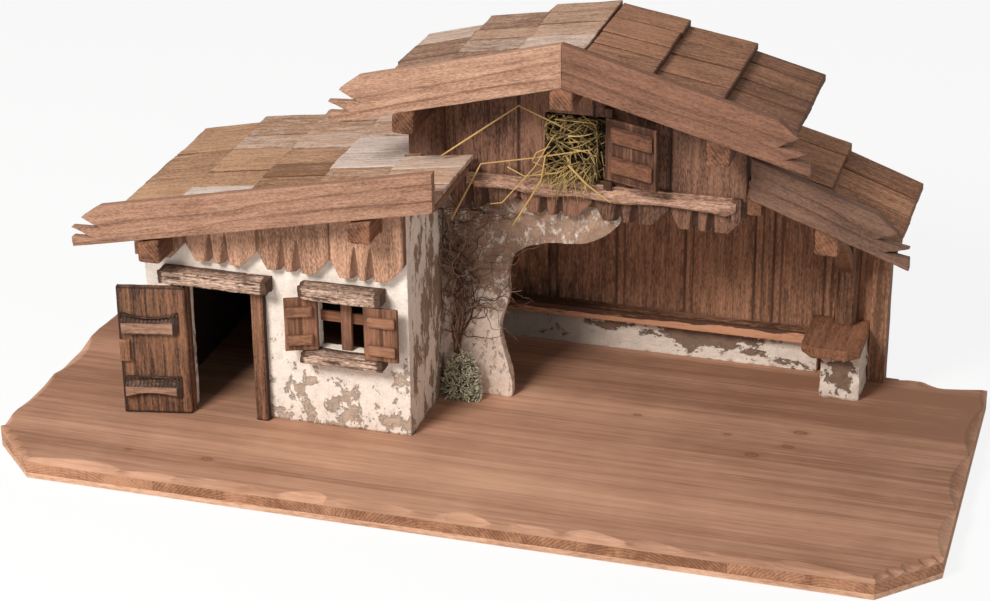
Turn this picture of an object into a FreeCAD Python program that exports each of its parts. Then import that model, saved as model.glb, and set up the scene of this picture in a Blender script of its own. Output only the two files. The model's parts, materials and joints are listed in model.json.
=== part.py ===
import FreeCAD, Part
import math
import os

os.makedirs("parts", exist_ok=True)
V = FreeCAD.Vector

# Base board: three glued layers, the two front corners cut off.
base_width = 800.0
base_depth = 338.0
skin_thickness = 5.0
core_thickness = 9.0
corner_cut = 46.0
core_stave_count = 5

# Walls of the house, the left half of the stable.
house_inset = 110.0
house_setback = 122.0
house_width = 234.0
wall_thickness = 10.0
house_eave_height = 163.7
house_pitch = 11.7

# Doorway and window in the front wall, measured from the left wall.
doorway_offset = 38.0
doorway_width = 57.0
doorway_height = 122.0
window_offset = 155.0
window_width = 48.0
window_height = 50.0
window_sill_height = 73.0

# Timber trim round the doorway and the window.
trim_depth = 15.0
door_lintel_overhang = 20.0
door_lintel_height = 12.0
door_post_width = 8.0
door_post_depth = 7.0
far_post_width = 12.0
far_post_offset = 1.5
window_lintel_overhang = 12.0
window_lintel_height = 11.5
sill_overhang = 12.0
sill_height = 9.0
glazing_bar = 9.0
glazing_depth = 4.0
transom_share = 0.47
post_reveal = 2.0

# Steel pivot pins, two for each leaf.
pin_radius = 0.8
pin_grip = 7.0
bore_clearance = 0.05
bore_spare = 0.5

# Door leaf with its ledges and handle, standing open.
door_width = 56.0
door_height = 118.5
door_thickness = 5.0
door_foot_gap = 0.8
door_axis_standoff = 11.0
door_axis_side = 0.7
door_open_angle = 168.2
ledge_thickness = 4.0
ledge_height = 20.0
ledge_inset = 5.0
door_ledge_low_share = 0.13
door_ledge_high_share = 0.64
handle_width = 9.0
handle_height = 20.0
handle_depth = 3.0
handle_share = 0.42

# Window shutters, each two boards on two battens.
shutter_thickness = 3.0
shutter_gap = 1.0
shutter_board_gap = 1.2
shutter_batten_height = 9.0
shutter_batten_depth = 3.0
batten_inset = 3.0
batten_low_share = 0.12
batten_high_share = 0.66
left_shutter_width = 27.0
left_shutter_standoff = 5.0
left_shutter_angle = 158.0
right_shutter_width = 28.5
right_shutter_standoff = 12.5
right_shutter_lap = 2.5

# Purlins, roof boards and shingles.
purlin_width = 19.0
purlin_height = 18.0
purlin_nose = 3.0
roof_board = 5.5
house_shingle = 4.0
main_shingle = 5.5
shingle_lap = 12.0
shingle_gap = 0.4
shingle_play = 0.2
eave_lip = 3.0
house_row_shares = (
    (0.0, 0.2, 0.45, 0.72, 1.0),
    (0.0, 0.16, 0.31, 0.45, 0.67, 0.8, 1.0),
    (0.0, 0.16, 0.34, 0.46, 0.61, 0.75, 0.87, 1.0),
    (0.0, 0.2, 0.36, 0.5, 0.66, 0.81, 1.0),
    (0.0, 0.14, 0.29, 0.41, 1.0),
)
left_row_shares = (
    (0.0, 0.3, 0.58, 0.81, 1.0),
    (0.0, 0.2, 0.45, 0.62, 0.77, 1.0),
    (0.0, 0.18, 0.34, 0.51, 0.7, 0.88, 1.0),
)
right_row_shares = (
    (0.0, 0.24, 0.47, 0.62, 0.84, 1.0),
    (0.0, 0.17, 0.36, 0.6, 0.79, 1.0),
    (0.0, 0.22, 0.42, 0.58, 0.8, 1.0),
)
lower_row_shares = (
    (0.0, 0.21, 0.47, 0.73, 1.0),
    (0.0, 0.28, 0.52, 0.79, 1.0),
)

# House roof: two purlins and a back corner cut away for the gable.
house_low_purlin_offset = 20.7
house_high_purlin_offset = 206.2
house_eave_overhang = 33.0
house_roof_right_overhang = 34.0
house_verge = 34.0
roof_slot = 9.0
roof_slot_skew = 19.0
roof_slot_lead = 2.0

# Gable half: setback of the arch wall, ridge place and roof slopes.
arch_setback = 214.0
ridge_offset = 120.0
ridge_height = 309.0
left_pitch = 14.0
right_pitch = 15.0
left_purlin_offset = 132.5
right_purlin_offset = 127.6
left_eave_reach = 170.0
right_eave_reach = 177.0
main_verge = 55.0
ridge_lap = 3.0
ridge_joint = 1.0
rear_overhang = 11.0

# Lower roof at the right end.
lower_purlin_offset = 210.6
lower_purlin_rise = 191.5
lower_pitch = 20.0
lower_verge_setback = 38.0
lower_roof_start = 144.0
lower_roof_end = 264.0
ledger_width = 11.0
ledger_height = 14.0

# Carved bargeboards with finger-shaped tails.
barge_thickness = 8.0
house_barge_height = 34.0
main_barge_height = 37.0
lower_barge_height = 36.0
house_barge_reach = 49.0
left_barge_reach = 198.0
right_barge_reach = 201.0
lower_barge_start = 147.0
lower_barge_reach = 277.0
barge_lift = 2.0
tail_length = 27.0
tail_along_shares = (1.0, 0.36, 1.0, 0.0, 0.75, 0.0, 0.0)
tail_down_shares = (0.0, 0.24, 0.6, 0.47, 0.83, 0.72, 1.0)

# Wooden cladding, gable panel and cornice.
cladding_thickness = 8.0
house_board_width = 64.0
house_board_count = 3
house_cladding_rise = 143.0
side_cladding_thickness = 5.0
tooth_count = 3
left_corner_width = 8.0
right_corner_width = 15.0
corner_height = 16.0
nick_depth = 4.0
nick_share = 0.2
filler_teeth = 2
gable_left_reach = 27.5
gable_right_reach = 143.2
gable_cladding_inset = 34.6
gable_board_count = 4
gable_cladding_rise = 179.0
gable_panel_rise = 187.0
hatch_left = 26.5
hatch_width = 53.0
hatch_rise = 212.0
hatch_height = 58.0
cornice_left_reach = 86.0
cornice_right_reach = 135.5
cornice_depth = 9.0
cornice_height = 14.0
cornice_rise = 196.0
cornice_wave_count = 6
cornice_wave = 3.0

# Hay hatch with two ledges, standing open, between two pivot blocks.
hatch_leaf_width = 48.5
hatch_leaf_height = 54.0
hatch_leaf_thickness = 5.0
hatch_leaf_gap = 1.0
hatch_axis_standoff = 3.6
hatch_axis_side = 1.7
hatch_open_angle = 158.3
hatch_ledge_low_share = 0.1
hatch_ledge_high_share = 0.58
hatch_block_width = 7.0
hatch_block_depth = 7.0
hatch_block_height = 7.2

# Arch wall: the plaster outline of the opening, from its foot to its tip.
arch_foot_width = 61.0
arch_reach = 157.0
arch_spring_shares = (1.0, 1.01, 0.95, 0.84, 0.86, 0.96, 0.97)
arch_spring_heights = (0.0, 0.04, 0.16, 0.31, 0.4, 0.5, 0.65)
arch_crown_shares = (0.41, 0.49, 0.62, 0.79, 0.88, 1.0)
arch_crown_heights = (0.72, 0.77, 0.8, 0.815, 0.845, 0.95)

# Back of the bay: boards, low wall, plank, pier, post and brace.
back_board_thickness = 8.0
back_board_width = 62.15
back_last_width = 57.8
back_wall_drop = 17.0
right_panel_width = 15.0
right_panel_depth = 12.0
low_wall_depth = 6.0
low_wall_height = 31.5
low_wall_clear = 10.0
plank_depth = 17.0
plank_height = 9.3
plank_clear = 8.0
pier_lead = 13.8
pier_width = 34.5
pier_depth = 52.0
pier_height = 43.5
cap_width = 51.0
cap_depth = 67.0
cap_height = 9.7
cap_corner_cut = 10.0
cap_side = 0.4
right_panel_clear = 0.8
post_width = 20.0
post_depth = 16.0
post_chamfer = 5.0
brace_width = 12.0
brace_section = 13.0
brace_drop = 70.0
brace_reach = 82.0

# Loose natural trimmings: hay, climbing roots and moss.
hay_depth = 34.0
hay_recess = 0.4
roots_depth = 14.0
roots_clear = 3.0
roots_height_shares = (0.32, 0.3, 0.57, 0.81, 0.99, 1.0, 0.98)
roots_width_shares = (0.02, 0.4, 0.8, 1.2, 1.28, 0.8, 0.05)
moss_height = 50.0
moss_width = 40.0
moss_depth = 24.0
moss_shares = (1.0, 0.92, 0.6, 0.2)
moss_rise_shares = (0.0, 0.45, 0.8, 1.0)
moss_side_count = 10

# Planes that follow from the sizes above.
base_top = skin_thickness + core_thickness + skin_thickness
front_y = -(base_depth + rear_overhang) / 2
back_y = front_y + base_depth
roof_back_y = back_y + rear_overhang
base_left = -base_width / 2
house_left = base_left + house_inset
house_right = house_left + house_width
house_face = front_y + house_setback
house_inner = house_face + wall_thickness
house_clad = house_face - cladding_thickness
trim_face = house_face - trim_depth
arch_face = front_y + arch_setback
panel_back = arch_face + cladding_thickness
gable_clad = arch_face - cladding_thickness
ridge_x = house_right + ridge_offset
apex_z = base_top + ridge_height
house_barge_y = house_face - house_verge
main_barge_y = arch_face - main_verge
lower_barge_y = main_barge_y + lower_verge_setback
house_slope = math.tan(math.radians(house_pitch))
left_slope = math.tan(math.radians(left_pitch))
right_slope = math.tan(math.radians(right_pitch))
lower_slope = math.tan(math.radians(lower_pitch))
lower_purlin_x = ridge_x + lower_purlin_offset
gable_left = house_right - gable_left_reach
gable_right = ridge_x + gable_right_reach
roof_slot_x = gable_left - roof_slot_lead
house_roof_left = house_left - house_eave_overhang
house_roof_right = house_right + house_roof_right_overhang
left_eave_x = ridge_x - left_eave_reach
right_eave_x = ridge_x + right_eave_reach
lower_start_x = ridge_x + lower_roof_start
lower_end_x = ridge_x + lower_roof_end
doorway_left = house_left + doorway_offset
doorway_right = doorway_left + doorway_width
doorway_top = base_top + doorway_height
window_left = house_left + window_offset
window_right = window_left + window_width
window_bottom = base_top + window_sill_height
window_top = window_bottom + window_height
hatch_x = ridge_x - hatch_left
hatch_end_x = hatch_x + hatch_width
hatch_z = base_top + hatch_rise
hatch_top_z = hatch_z + hatch_height
cornice_top = base_top + cornice_rise + cornice_height
panel_z = base_top + gable_panel_rise
pier_left = lower_purlin_x - pier_lead
pier_right = pier_left + pier_width
right_panel_x = pier_right + right_panel_clear
back_right_x = right_panel_x + right_panel_width
cap_top = base_top + pier_height + cap_height


def house_under(x):
    return base_top + house_eave_height + (x - house_left) * house_slope


def left_under(x):
    return apex_z - (ridge_x - x) * left_slope


def right_under(x):
    return apex_z - (x - ridge_x) * right_slope


def lower_under(x):
    return base_top + lower_purlin_rise - (x - lower_purlin_x) * lower_slope


def main_under(x):
    return min(left_under(x), right_under(x))


def block(x0, x1, y0, y1, z0, z1):
    return Part.makeBox(x1 - x0, y1 - y0, z1 - z0, V(x0, y0, z0))


def prism(points, run):
    wire = Part.makePolygon(points + [points[0]])
    return Part.Face(wire).extrude(run)


def sheet_xz(points, y0, y1):
    return prism([V(x, y0, z) for x, z in points], V(0, y1 - y0, 0))


def sheet_yz(points, x0, x1):
    return prism([V(x0, y, z) for y, z in points], V(x1 - x0, 0, 0))


def sheet_xy(points, z0, z1):
    return prism([V(x, y, z0) for x, y in points], V(0, 0, z1 - z0))


def rod(x, y, z0, z1, radius):
    return Part.makeCylinder(radius, z1 - z0, V(x, y, z0))


def less(shape, tools):
    for tool in tools:
        shape = shape.cut(tool)
    return shape


def solids_of(shapes):
    found = []
    for shape in shapes:
        found.extend(shape.Solids)
    return Part.makeCompound(found)


def save(name, shape):
    shape.exportStep("parts/" + name + ".step")


# Pivot places: axis point, lower and upper end of each leaf.
door_axis = (doorway_left - door_axis_side, house_face - door_axis_standoff)
door_span = (base_top + door_foot_gap, base_top + door_foot_gap + door_height)
shutter_span = (window_bottom + shutter_gap, window_top - shutter_gap)
left_axis = (window_left, house_face - left_shutter_standoff)
right_axis = (window_right - right_shutter_lap, house_face - right_shutter_standoff)
hatch_axis = (hatch_end_x + hatch_axis_side, gable_clad - hatch_axis_standoff)
hatch_foot = cornice_top + hatch_block_height + hatch_leaf_gap
hatch_span = (hatch_foot, hatch_foot + hatch_leaf_height)
pivots = (
    (door_axis, door_span),
    (left_axis, shutter_span),
    (right_axis, shutter_span),
    (hatch_axis, hatch_span),
)


def pivot_pins():
    pins = []
    for axis, span in pivots:
        for end in span:
            pins.append(rod(axis[0], axis[1], end - pin_grip, end + pin_grip, pin_radius))
    return pins


def bores(axis, span):
    radius = pin_radius + bore_clearance
    reach = pin_grip + bore_spare
    low = rod(axis[0], axis[1], span[0], span[0] + reach, radius)
    high = rod(axis[0], axis[1], span[1] - reach, span[1], radius)
    return [low, high]


pins = pivot_pins()


def swing(shape, axis, angle):
    turned = shape.copy()
    turned.rotate(V(axis[0], axis[1], 0), V(0, 0, 1), angle)
    return turned


def base_outline(margin):
    left = base_left + margin
    right = base_width / 2 - margin
    near = front_y + margin
    return [
        (left, back_y),
        (left, near + corner_cut),
        (left + corner_cut, near),
        (right - corner_cut, near),
        (right, near + corner_cut),
        (right, back_y),
    ]


def base_board():
    low = sheet_xy(base_outline(0), 0, skin_thickness)
    core_top = skin_thickness + core_thickness
    core = sheet_xy(base_outline(0), skin_thickness, core_top)
    step = base_width / core_stave_count
    staves = []
    for i in range(core_stave_count):
        x = base_left + i * step
        staves.append(core.common(block(x, x + step, front_y, back_y, skin_thickness, core_top)))
    high = sheet_xy(base_outline(0), core_top, base_top)
    save("base_bottom_layer", low)
    save("base_core_staves", solids_of([less(stave, pins) for stave in staves]))
    save("base_top_layer", less(high, pins))


def purlin(x, under, front):
    half = purlin_width / 2
    foot = under(x) - purlin_height
    outline = [(x - half, foot), (x + half, foot), (x + half, under(x + half))]
    outline.append((x, under(x)))
    outline.append((x - half, under(x - half)))
    return sheet_xz(outline, front, back_y)


house_low_x = house_left + house_low_purlin_offset
house_high_x = house_left + house_high_purlin_offset
house_low_purlin = purlin(house_low_x, house_under, house_barge_y - purlin_nose)
house_high_purlin = purlin(house_high_x, house_under, house_barge_y - purlin_nose)
left_purlin = purlin(ridge_x - left_purlin_offset, left_under, main_barge_y - purlin_nose)
ridge_purlin = purlin(ridge_x, main_under, main_barge_y - purlin_nose)
right_purlin = purlin(ridge_x + right_purlin_offset, right_under, main_barge_y - purlin_nose)
lower_purlin = purlin(lower_purlin_x, lower_under, lower_barge_y - purlin_nose)
house_purlins = [house_low_purlin, house_high_purlin]
main_purlins = [left_purlin, ridge_purlin, right_purlin]


def wall_under_house(x0, x1, y0, y1):
    outline = [(x0, base_top), (x1, base_top), (x1, house_under(x1)), (x0, house_under(x0))]
    return sheet_xz(outline, y0, y1)


def house_walls():
    front = wall_under_house(house_left, house_right, house_face, house_inner)
    doorway = block(doorway_left, doorway_right, house_face, house_inner, base_top, doorway_top)
    window = block(window_left, window_right, house_face, house_inner, window_bottom, window_top)
    save("house_front_wall", less(front, [doorway, window] + house_purlins))
    left = wall_under_house(house_left, house_left + wall_thickness, house_inner, back_y)
    save("house_left_wall", less(left, house_purlins))
    inner_x = house_right - wall_thickness
    near = wall_under_house(inner_x, house_right, house_inner, arch_face)
    far = block(inner_x, house_right, arch_face, back_y, base_top, panel_z)
    save("house_right_wall", near.fuse(far).removeSplitter())


def toothed_board(x0, x1, foot, top_fn, y0, y1, teeth):
    left = x0 + left_corner_width
    right = x1 - right_corner_width
    step = (right - left) / teeth
    nick = step * nick_share
    outline = [(x0, foot + corner_height), (left, foot)]
    for i in range(1, teeth):
        x = left + i * step
        outline.append((x - nick, foot))
        outline.append((x, foot + nick_depth))
        outline.append((x + nick, foot))
    outline.append((right, foot))
    outline.append((x1, foot + corner_height))
    outline.append((x1, top_fn(x1)))
    if x0 < ridge_x < x1:
        outline.append((ridge_x, top_fn(ridge_x)))
    outline.append((x0, top_fn(x0)))
    return sheet_xz(outline, y0, y1)


def house_cladding():
    foot = base_top + house_cladding_rise
    boards = []
    start = house_right - house_board_count * house_board_width
    for i in range(house_board_count):
        x = start + i * house_board_width
        end = x + house_board_width
        board = toothed_board(x, end, foot, house_under, house_clad, house_face, tooth_count)
        boards.append(less(board, house_purlins))
    filler = toothed_board(house_left, start, foot, house_under, house_clad, house_face, filler_teeth)
    boards.append(less(filler, house_purlins))
    side_x = house_left - side_cladding_thickness
    outline = [(side_x, foot), (house_left, foot), (house_left, house_under(house_left))]
    outline.append((side_x, house_under(side_x)))
    boards.append(sheet_xz(outline, house_clad, back_y))
    save("house_cladding", solids_of(boards))


def door_trim():
    x0 = doorway_left - door_lintel_overhang
    x1 = doorway_right + door_lintel_overhang
    lintel = block(x0, x1, trim_face, house_face, doorway_top, doorway_top + door_lintel_height)
    save("door_lintel", less(lintel, pins))
    left_x = doorway_left - door_post_width / 2
    post_y = house_face - door_post_depth
    clear_x = min(left_x + door_post_width, doorway_left + post_reveal)
    save("door_post_left", block(left_x, clear_x, post_y, house_face, base_top, doorway_top))
    far_x = doorway_right + far_post_offset
    far_end = far_x + far_post_width
    save("door_post_right", block(far_x, far_end, post_y, house_face, base_top, doorway_top))


def window_trim():
    x0 = window_left - window_lintel_overhang
    x1 = window_right + window_lintel_overhang
    lintel = block(x0, x1, trim_face, house_face, window_top, window_top + window_lintel_height)
    save("window_lintel", less(lintel, pins))
    x0 = window_left - sill_overhang
    x1 = window_right + sill_overhang
    sill = block(x0, x1, trim_face, house_face, window_bottom - sill_height, window_bottom)
    save("window_sill", less(sill, pins))
    mid_x = (window_left + window_right) / 2
    bar_y = house_face + glazing_depth
    low = bar_y + glazing_depth
    half = glazing_bar / 2
    bar = block(mid_x - half, mid_x + half, house_face, bar_y, window_bottom, window_top)
    save("window_mullion", bar)
    high_z = window_bottom + window_height * transom_share
    save("window_transom", block(window_left, window_right, bar_y, low, high_z, high_z + glazing_bar))


def leaf(axis, span, width, thickness, side):
    half = thickness / 2
    body = block(0, width, -half, half, span[0], span[1])
    round_end = rod(0, 0, span[0], span[1], half)
    whole = body.fuse(round_end).removeSplitter()
    if side < 0:
        whole.rotate(V(0, 0, 0), V(0, 0, 1), 180)
    whole.translate(V(axis[0], axis[1], 0))
    return less(whole, bores(axis, span))


def ledge(axis, width, thickness, z0, z1, side, depth, inset):
    half = thickness / 2
    strip = block(inset, width - inset / 2, half, half + depth, z0, z1)
    if side < 0:
        strip = block(inset / 2 - width, -inset, half, half + depth, z0, z1)
    strip.translate(V(axis[0], axis[1], 0))
    return strip


def door():
    angle = -door_open_angle
    board = leaf(door_axis, door_span, door_width, door_thickness, 1)
    save("door_leaf", swing(board, door_axis, angle))
    strips = []
    for share in (door_ledge_low_share, door_ledge_high_share):
        z = door_span[0] + door_height * share
        strip = ledge(door_axis, door_width, door_thickness, z, z + ledge_height, 1,
                      ledge_thickness, ledge_inset)
        strips.append(swing(strip, door_axis, angle))
    save("door_ledges", solids_of(strips))
    z = door_span[0] + door_height * handle_share
    knob = block(door_width - handle_width, door_width, 0, handle_depth, z, z + handle_height)
    knob.translate(V(door_axis[0], door_axis[1] + door_thickness / 2, 0))
    save("door_handle", swing(knob, door_axis, angle))


def shutter(name, axis, width, side, angle):
    height = shutter_span[1] - shutter_span[0]
    whole = leaf(axis, shutter_span, width, shutter_thickness, side)
    mid = axis[0] + side * width / 2
    half = shutter_board_gap / 2
    slit = block(mid - half, mid + half, axis[1] - width, axis[1] + width, shutter_span[0], shutter_span[1])
    save(name + "_boards", swing(solids_of([whole.cut(slit)]), axis, angle))
    strips = []
    for share in (batten_low_share, batten_high_share):
        z = shutter_span[0] + height * share
        strip = ledge(axis, width, shutter_thickness, z, z + shutter_batten_height, side,
                      shutter_batten_depth, batten_inset)
        strips.append(swing(strip, axis, angle))
    save(name + "_battens", solids_of(strips))


def roof_slab(under, x0, x1, pitch, y0, y1):
    rise = roof_board / math.cos(math.radians(pitch))
    outline = [(x0, under(x0)), (x1, under(x1)), (x1, under(x1) + rise), (x0, under(x0) + rise)]
    return sheet_xz(outline, y0, y1)


def roof_notch():
    far = roof_back_y + roof_slot
    wide = house_roof_right + roof_slot
    near = arch_face - roof_slot
    skew = near - roof_slot_skew
    low = base_top
    outline = [(roof_slot_x, near), (house_roof_right, skew), (wide, skew), (wide, far), (roof_slot_x, far)]
    return sheet_xy(outline, low, apex_z)


def shingle_rows(under, pitch, low_x, high_x, rows, thick, y0, y1):
    count = len(rows)
    side = 1 if high_x > low_x else -1
    rise = thick / math.cos(math.radians(pitch))
    board = roof_board / math.cos(math.radians(pitch))
    step = (high_x - low_x) / count
    lap = side * shingle_lap
    full = (rise + shingle_play) * (step + lap) / step
    plates = []
    for i in range(count):
        a = low_x + i * step
        b = a + step + lap
        if i == count - 1:
            b = a + step
        tilt = 0 if i == 0 else full
        top_lift = tilt * (1 - (b - a) / (step + lap))
        za = under(a) + board + tilt
        zb = under(b) + board + top_lift
        outline = [(a, za), (b, zb), (b, zb + rise), (a, za + rise)]
        shares = rows[i]
        depth = y1 - y0
        for k in range(len(shares) - 1):
            near = y0 + depth * shares[k]
            far = y0 + depth * shares[k + 1] - shingle_gap
            plates.append(sheet_xz(outline, near, far))
    return plates


def house_roof():
    save("house_purlin_low", house_low_purlin)
    save("house_purlin_high", house_high_purlin)
    near = house_barge_y + barge_thickness
    notch = roof_notch()
    slab = roof_slab(house_under, house_roof_left, house_roof_right, house_pitch, near, roof_back_y)
    save("house_roof_board", slab.cut(notch))
    plates = shingle_rows(house_under, house_pitch, house_roof_left - eave_lip, house_roof_right,
                          house_row_shares, house_shingle, near, roof_back_y)
    save("house_shingles", solids_of([plate.cut(notch) for plate in plates]))


def main_roof():
    save("left_purlin", left_purlin)
    save("ridge_purlin", ridge_purlin)
    save("right_purlin", right_purlin)
    near = main_barge_y + barge_thickness
    left = roof_slab(left_under, left_eave_x, ridge_x, left_pitch, near, roof_back_y)
    save("main_left_roof_board", left)
    right = roof_slab(right_under, ridge_x, right_eave_x, right_pitch, near, roof_back_y)
    save("main_right_roof_board", right)
    plates = shingle_rows(left_under, left_pitch, left_eave_x - eave_lip, ridge_x + ridge_lap,
                          left_row_shares, main_shingle, near, roof_back_y)
    save("main_left_shingles", solids_of(plates))
    joint_x = ridge_x + ridge_lap + ridge_joint
    plates = shingle_rows(right_under, right_pitch, right_eave_x + eave_lip, joint_x,
                          right_row_shares, main_shingle, near, roof_back_y)
    save("main_right_shingles", solids_of(plates))


def lower_roof():
    save("lower_purlin", lower_purlin)
    near = lower_barge_y + barge_thickness
    slab = roof_slab(lower_under, lower_start_x, lower_end_x, lower_pitch, near, roof_back_y)
    save("lower_roof_board", slab)
    plates = shingle_rows(lower_under, lower_pitch, lower_end_x + eave_lip, lower_start_x,
                          lower_row_shares, main_shingle, near, roof_back_y)
    save("lower_shingles", solids_of(plates))
    end_x = lower_start_x + ledger_width
    start_x = gable_right
    outline = [(start_x, lower_under(end_x) - ledger_height), (end_x, lower_under(end_x) - ledger_height)]
    outline.append((end_x, lower_under(end_x)))
    outline.append((lower_start_x, lower_under(lower_start_x)))
    outline.append((start_x, lower_under(lower_start_x)))
    save("lower_roof_ledger", sheet_xz(outline, gable_clad, back_y))


def bargeboard(inner_x, tip_x, under, height, lift, y):
    side = 1 if inner_x > tip_x else -1
    outline = [(inner_x, under(inner_x) + lift), (inner_x, under(inner_x) + lift + height)]
    for along, down in zip(tail_along_shares, tail_down_shares):
        x = tip_x + side * along * tail_length
        outline.append((x, under(x) + lift + height * (1 - down)))
    return sheet_xz(outline, y, y + barge_thickness)


def bargeboards():
    board = bargeboard(house_roof_right, house_left - house_barge_reach, house_under,
                       house_barge_height, barge_lift, house_barge_y)
    save("house_bargeboard", board)
    board = bargeboard(ridge_x, ridge_x - left_barge_reach, left_under, main_barge_height, 0, main_barge_y)
    save("main_left_bargeboard", board)
    board = bargeboard(ridge_x, ridge_x + right_barge_reach, right_under, main_barge_height, 0, main_barge_y)
    save("main_right_bargeboard", board)
    board = bargeboard(ridge_x + lower_barge_start, ridge_x + lower_barge_reach, lower_under,
                       lower_barge_height, 0, lower_barge_y)
    save("lower_bargeboard", board)


def arch():
    points = []
    height = panel_z - base_top
    for share, rise in zip(arch_spring_shares, arch_spring_heights):
        points.append((house_right + arch_foot_width * share, base_top + height * rise))
    for share, rise in zip(arch_crown_shares, arch_crown_heights):
        points.append((house_right + arch_reach * share, base_top + height * rise))
    curve = Part.BSplineCurve()
    curve.interpolate([V(x, arch_face, z) for x, z in points])
    first = points[0]
    last = points[-1]
    tip = V(last[0], arch_face, panel_z)
    corner = V(house_right, arch_face, panel_z)
    foot = V(house_right, arch_face, base_top)
    edges = [curve.toShape()]
    edges.append(Part.makeLine(V(last[0], arch_face, last[1]), tip))
    edges.append(Part.makeLine(tip, corner))
    edges.append(Part.makeLine(corner, foot))
    edges.append(Part.makeLine(foot, V(first[0], arch_face, first[1])))
    save("arch_wall", Part.Face(Part.Wire(edges)).extrude(V(0, wall_thickness, 0)))


def gable():
    hole = block(hatch_x, hatch_end_x, gable_clad, panel_back, hatch_z, hatch_top_z)
    outline = [(gable_left, panel_z), (gable_right, panel_z), (gable_right, right_under(gable_right))]
    outline.append((ridge_x, apex_z))
    outline.append((gable_left, left_under(gable_left)))
    panel = sheet_xz(outline, arch_face, panel_back)
    save("gable_panel", less(panel, [hole, house_high_purlin] + main_purlins))
    start = gable_left + gable_cladding_inset
    step = (gable_right - start) / gable_board_count
    foot = base_top + gable_cladding_rise
    boards = []
    for i in range(gable_board_count):
        x = start + i * step
        board = toothed_board(x, x + step, foot, main_under, gable_clad, arch_face, tooth_count)
        boards.append(less(board, [hole] + main_purlins))
    save("gable_cladding", solids_of(boards))
    outline = [(gable_left, house_under(gable_left))]
    outline.append((gable_left + cladding_thickness, house_under(gable_left + cladding_thickness)))
    outline.append((gable_left + cladding_thickness, left_under(gable_left + cladding_thickness)))
    outline.append((gable_left, left_under(gable_left)))
    save("upper_left_wall", less(sheet_xz(outline, panel_back, back_y), main_purlins))


def cornice():
    x0 = ridge_x - cornice_left_reach
    x1 = ridge_x + cornice_right_reach
    foot = base_top + cornice_rise
    step = (x1 - x0) / cornice_wave_count
    outline = []
    for i in range(cornice_wave_count):
        outline.append((x0 + i * step, foot + cornice_wave))
        outline.append((x0 + i * step + step / 2, foot))
    outline.append((x1, foot + cornice_wave))
    outline.append((x1, cornice_top))
    outline.append((x0, cornice_top))
    beam = sheet_xz(outline, gable_clad - cornice_depth, gable_clad)
    save("cornice_beam", less(beam, pins))


def hatch():
    board = leaf(hatch_axis, hatch_span, hatch_leaf_width, hatch_leaf_thickness, -1)
    save("hatch_leaf", swing(board, hatch_axis, hatch_open_angle))
    strips = []
    for share in (hatch_ledge_low_share, hatch_ledge_high_share):
        z = hatch_span[0] + hatch_leaf_height * share
        strip = ledge(hatch_axis, hatch_leaf_width, hatch_leaf_thickness, z, z + ledge_height, -1,
                      ledge_thickness, ledge_inset)
        strips.append(swing(strip, hatch_axis, hatch_open_angle))
    save("hatch_ledges", solids_of(strips))
    half = hatch_block_width / 2
    blocks = []
    for foot in (cornice_top, hatch_span[1] + hatch_leaf_gap):
        pivot = block(hatch_axis[0] - half, hatch_axis[0] + half, gable_clad - hatch_block_depth, gable_clad,
                      foot, foot + hatch_block_height)
        blocks.append(less(pivot, pins))
    save("hatch_pivot_blocks", solids_of(blocks))


def back_piece(x0, x1, low):
    under = lower_under
    if x1 <= lower_start_x:
        under = main_under
    if x1 <= gable_left:
        under = house_under
    outline = [(x0, low), (x1, low), (x1, under(x1))]
    if x0 < ridge_x < x1:
        outline.append((ridge_x, apex_z))
    outline.append((x0, under(x0)))
    return sheet_xz(outline, back_y, back_y + back_board_thickness)


def back_wall():
    low = base_top - back_wall_drop
    joints = [back_right_x, lower_start_x, gable_left, house_left]
    x = back_right_x - back_last_width
    while x > house_left:
        joints.append(x)
        x = x - back_board_width
    joints.sort()
    boards = []
    for left, right in zip(joints[:-1], joints[1:]):
        boards.append(back_piece(left, right, low))
    save("back_wall_boards", solids_of(boards))
    x1 = back_right_x
    y0 = back_y - right_panel_depth
    outline = [(right_panel_x, base_top), (x1, base_top), (x1, lower_under(x1))]
    outline.append((right_panel_x, lower_under(right_panel_x)))
    save("right_back_panel", sheet_xz(outline, y0, back_y))


def low_wall():
    x1 = pier_left - low_wall_clear
    top = base_top + low_wall_height
    save("low_wall", block(house_right, x1, back_y - low_wall_depth, back_y, base_top, top))
    x1 = pier_left - plank_clear
    save("low_wall_plank", block(house_right, x1, back_y - plank_depth, back_y, top, top + plank_height))


def pier_and_post():
    y0 = back_y - pier_depth
    foot = base_top + pier_height
    save("pier", block(pier_left, pier_right, y0, back_y, base_top, foot))
    cap_x1 = pier_right + cap_side
    cap_x0 = cap_x1 - cap_width
    cap_y0 = back_y - cap_depth
    cut = cap_corner_cut
    outline = [(cap_x0, back_y), (cap_x0, cap_y0 + cut), (cap_x0 + cut, cap_y0), (cap_x1 - cut, cap_y0)]
    outline.append((cap_x1, cap_y0 + cut))
    outline.append((cap_x1, back_y))
    save("pier_cap", sheet_xy(outline, foot, cap_top))
    half = post_width / 2
    beam_z = lower_under(lower_purlin_x) - purlin_height
    post_y = back_y - post_depth
    x0 = lower_purlin_x - half
    x1 = lower_purlin_x + half
    outline = [(x0, back_y), (x0, post_y + post_chamfer), (x0 + post_chamfer, post_y)]
    outline.append((x1 - post_chamfer, post_y))
    outline.append((x1, post_y + post_chamfer))
    outline.append((x1, back_y))
    save("corner_post", sheet_xy(outline, cap_top, beam_z))
    reach = post_y - brace_reach
    outline = [(post_y, beam_z - brace_drop), (post_y, beam_z - brace_drop + brace_section)]
    outline.append((reach + brace_section, beam_z))
    outline.append((reach, beam_z))
    side = brace_width / 2
    save("knee_brace", sheet_yz(outline, lower_purlin_x - side, lower_purlin_x + side))


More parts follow.
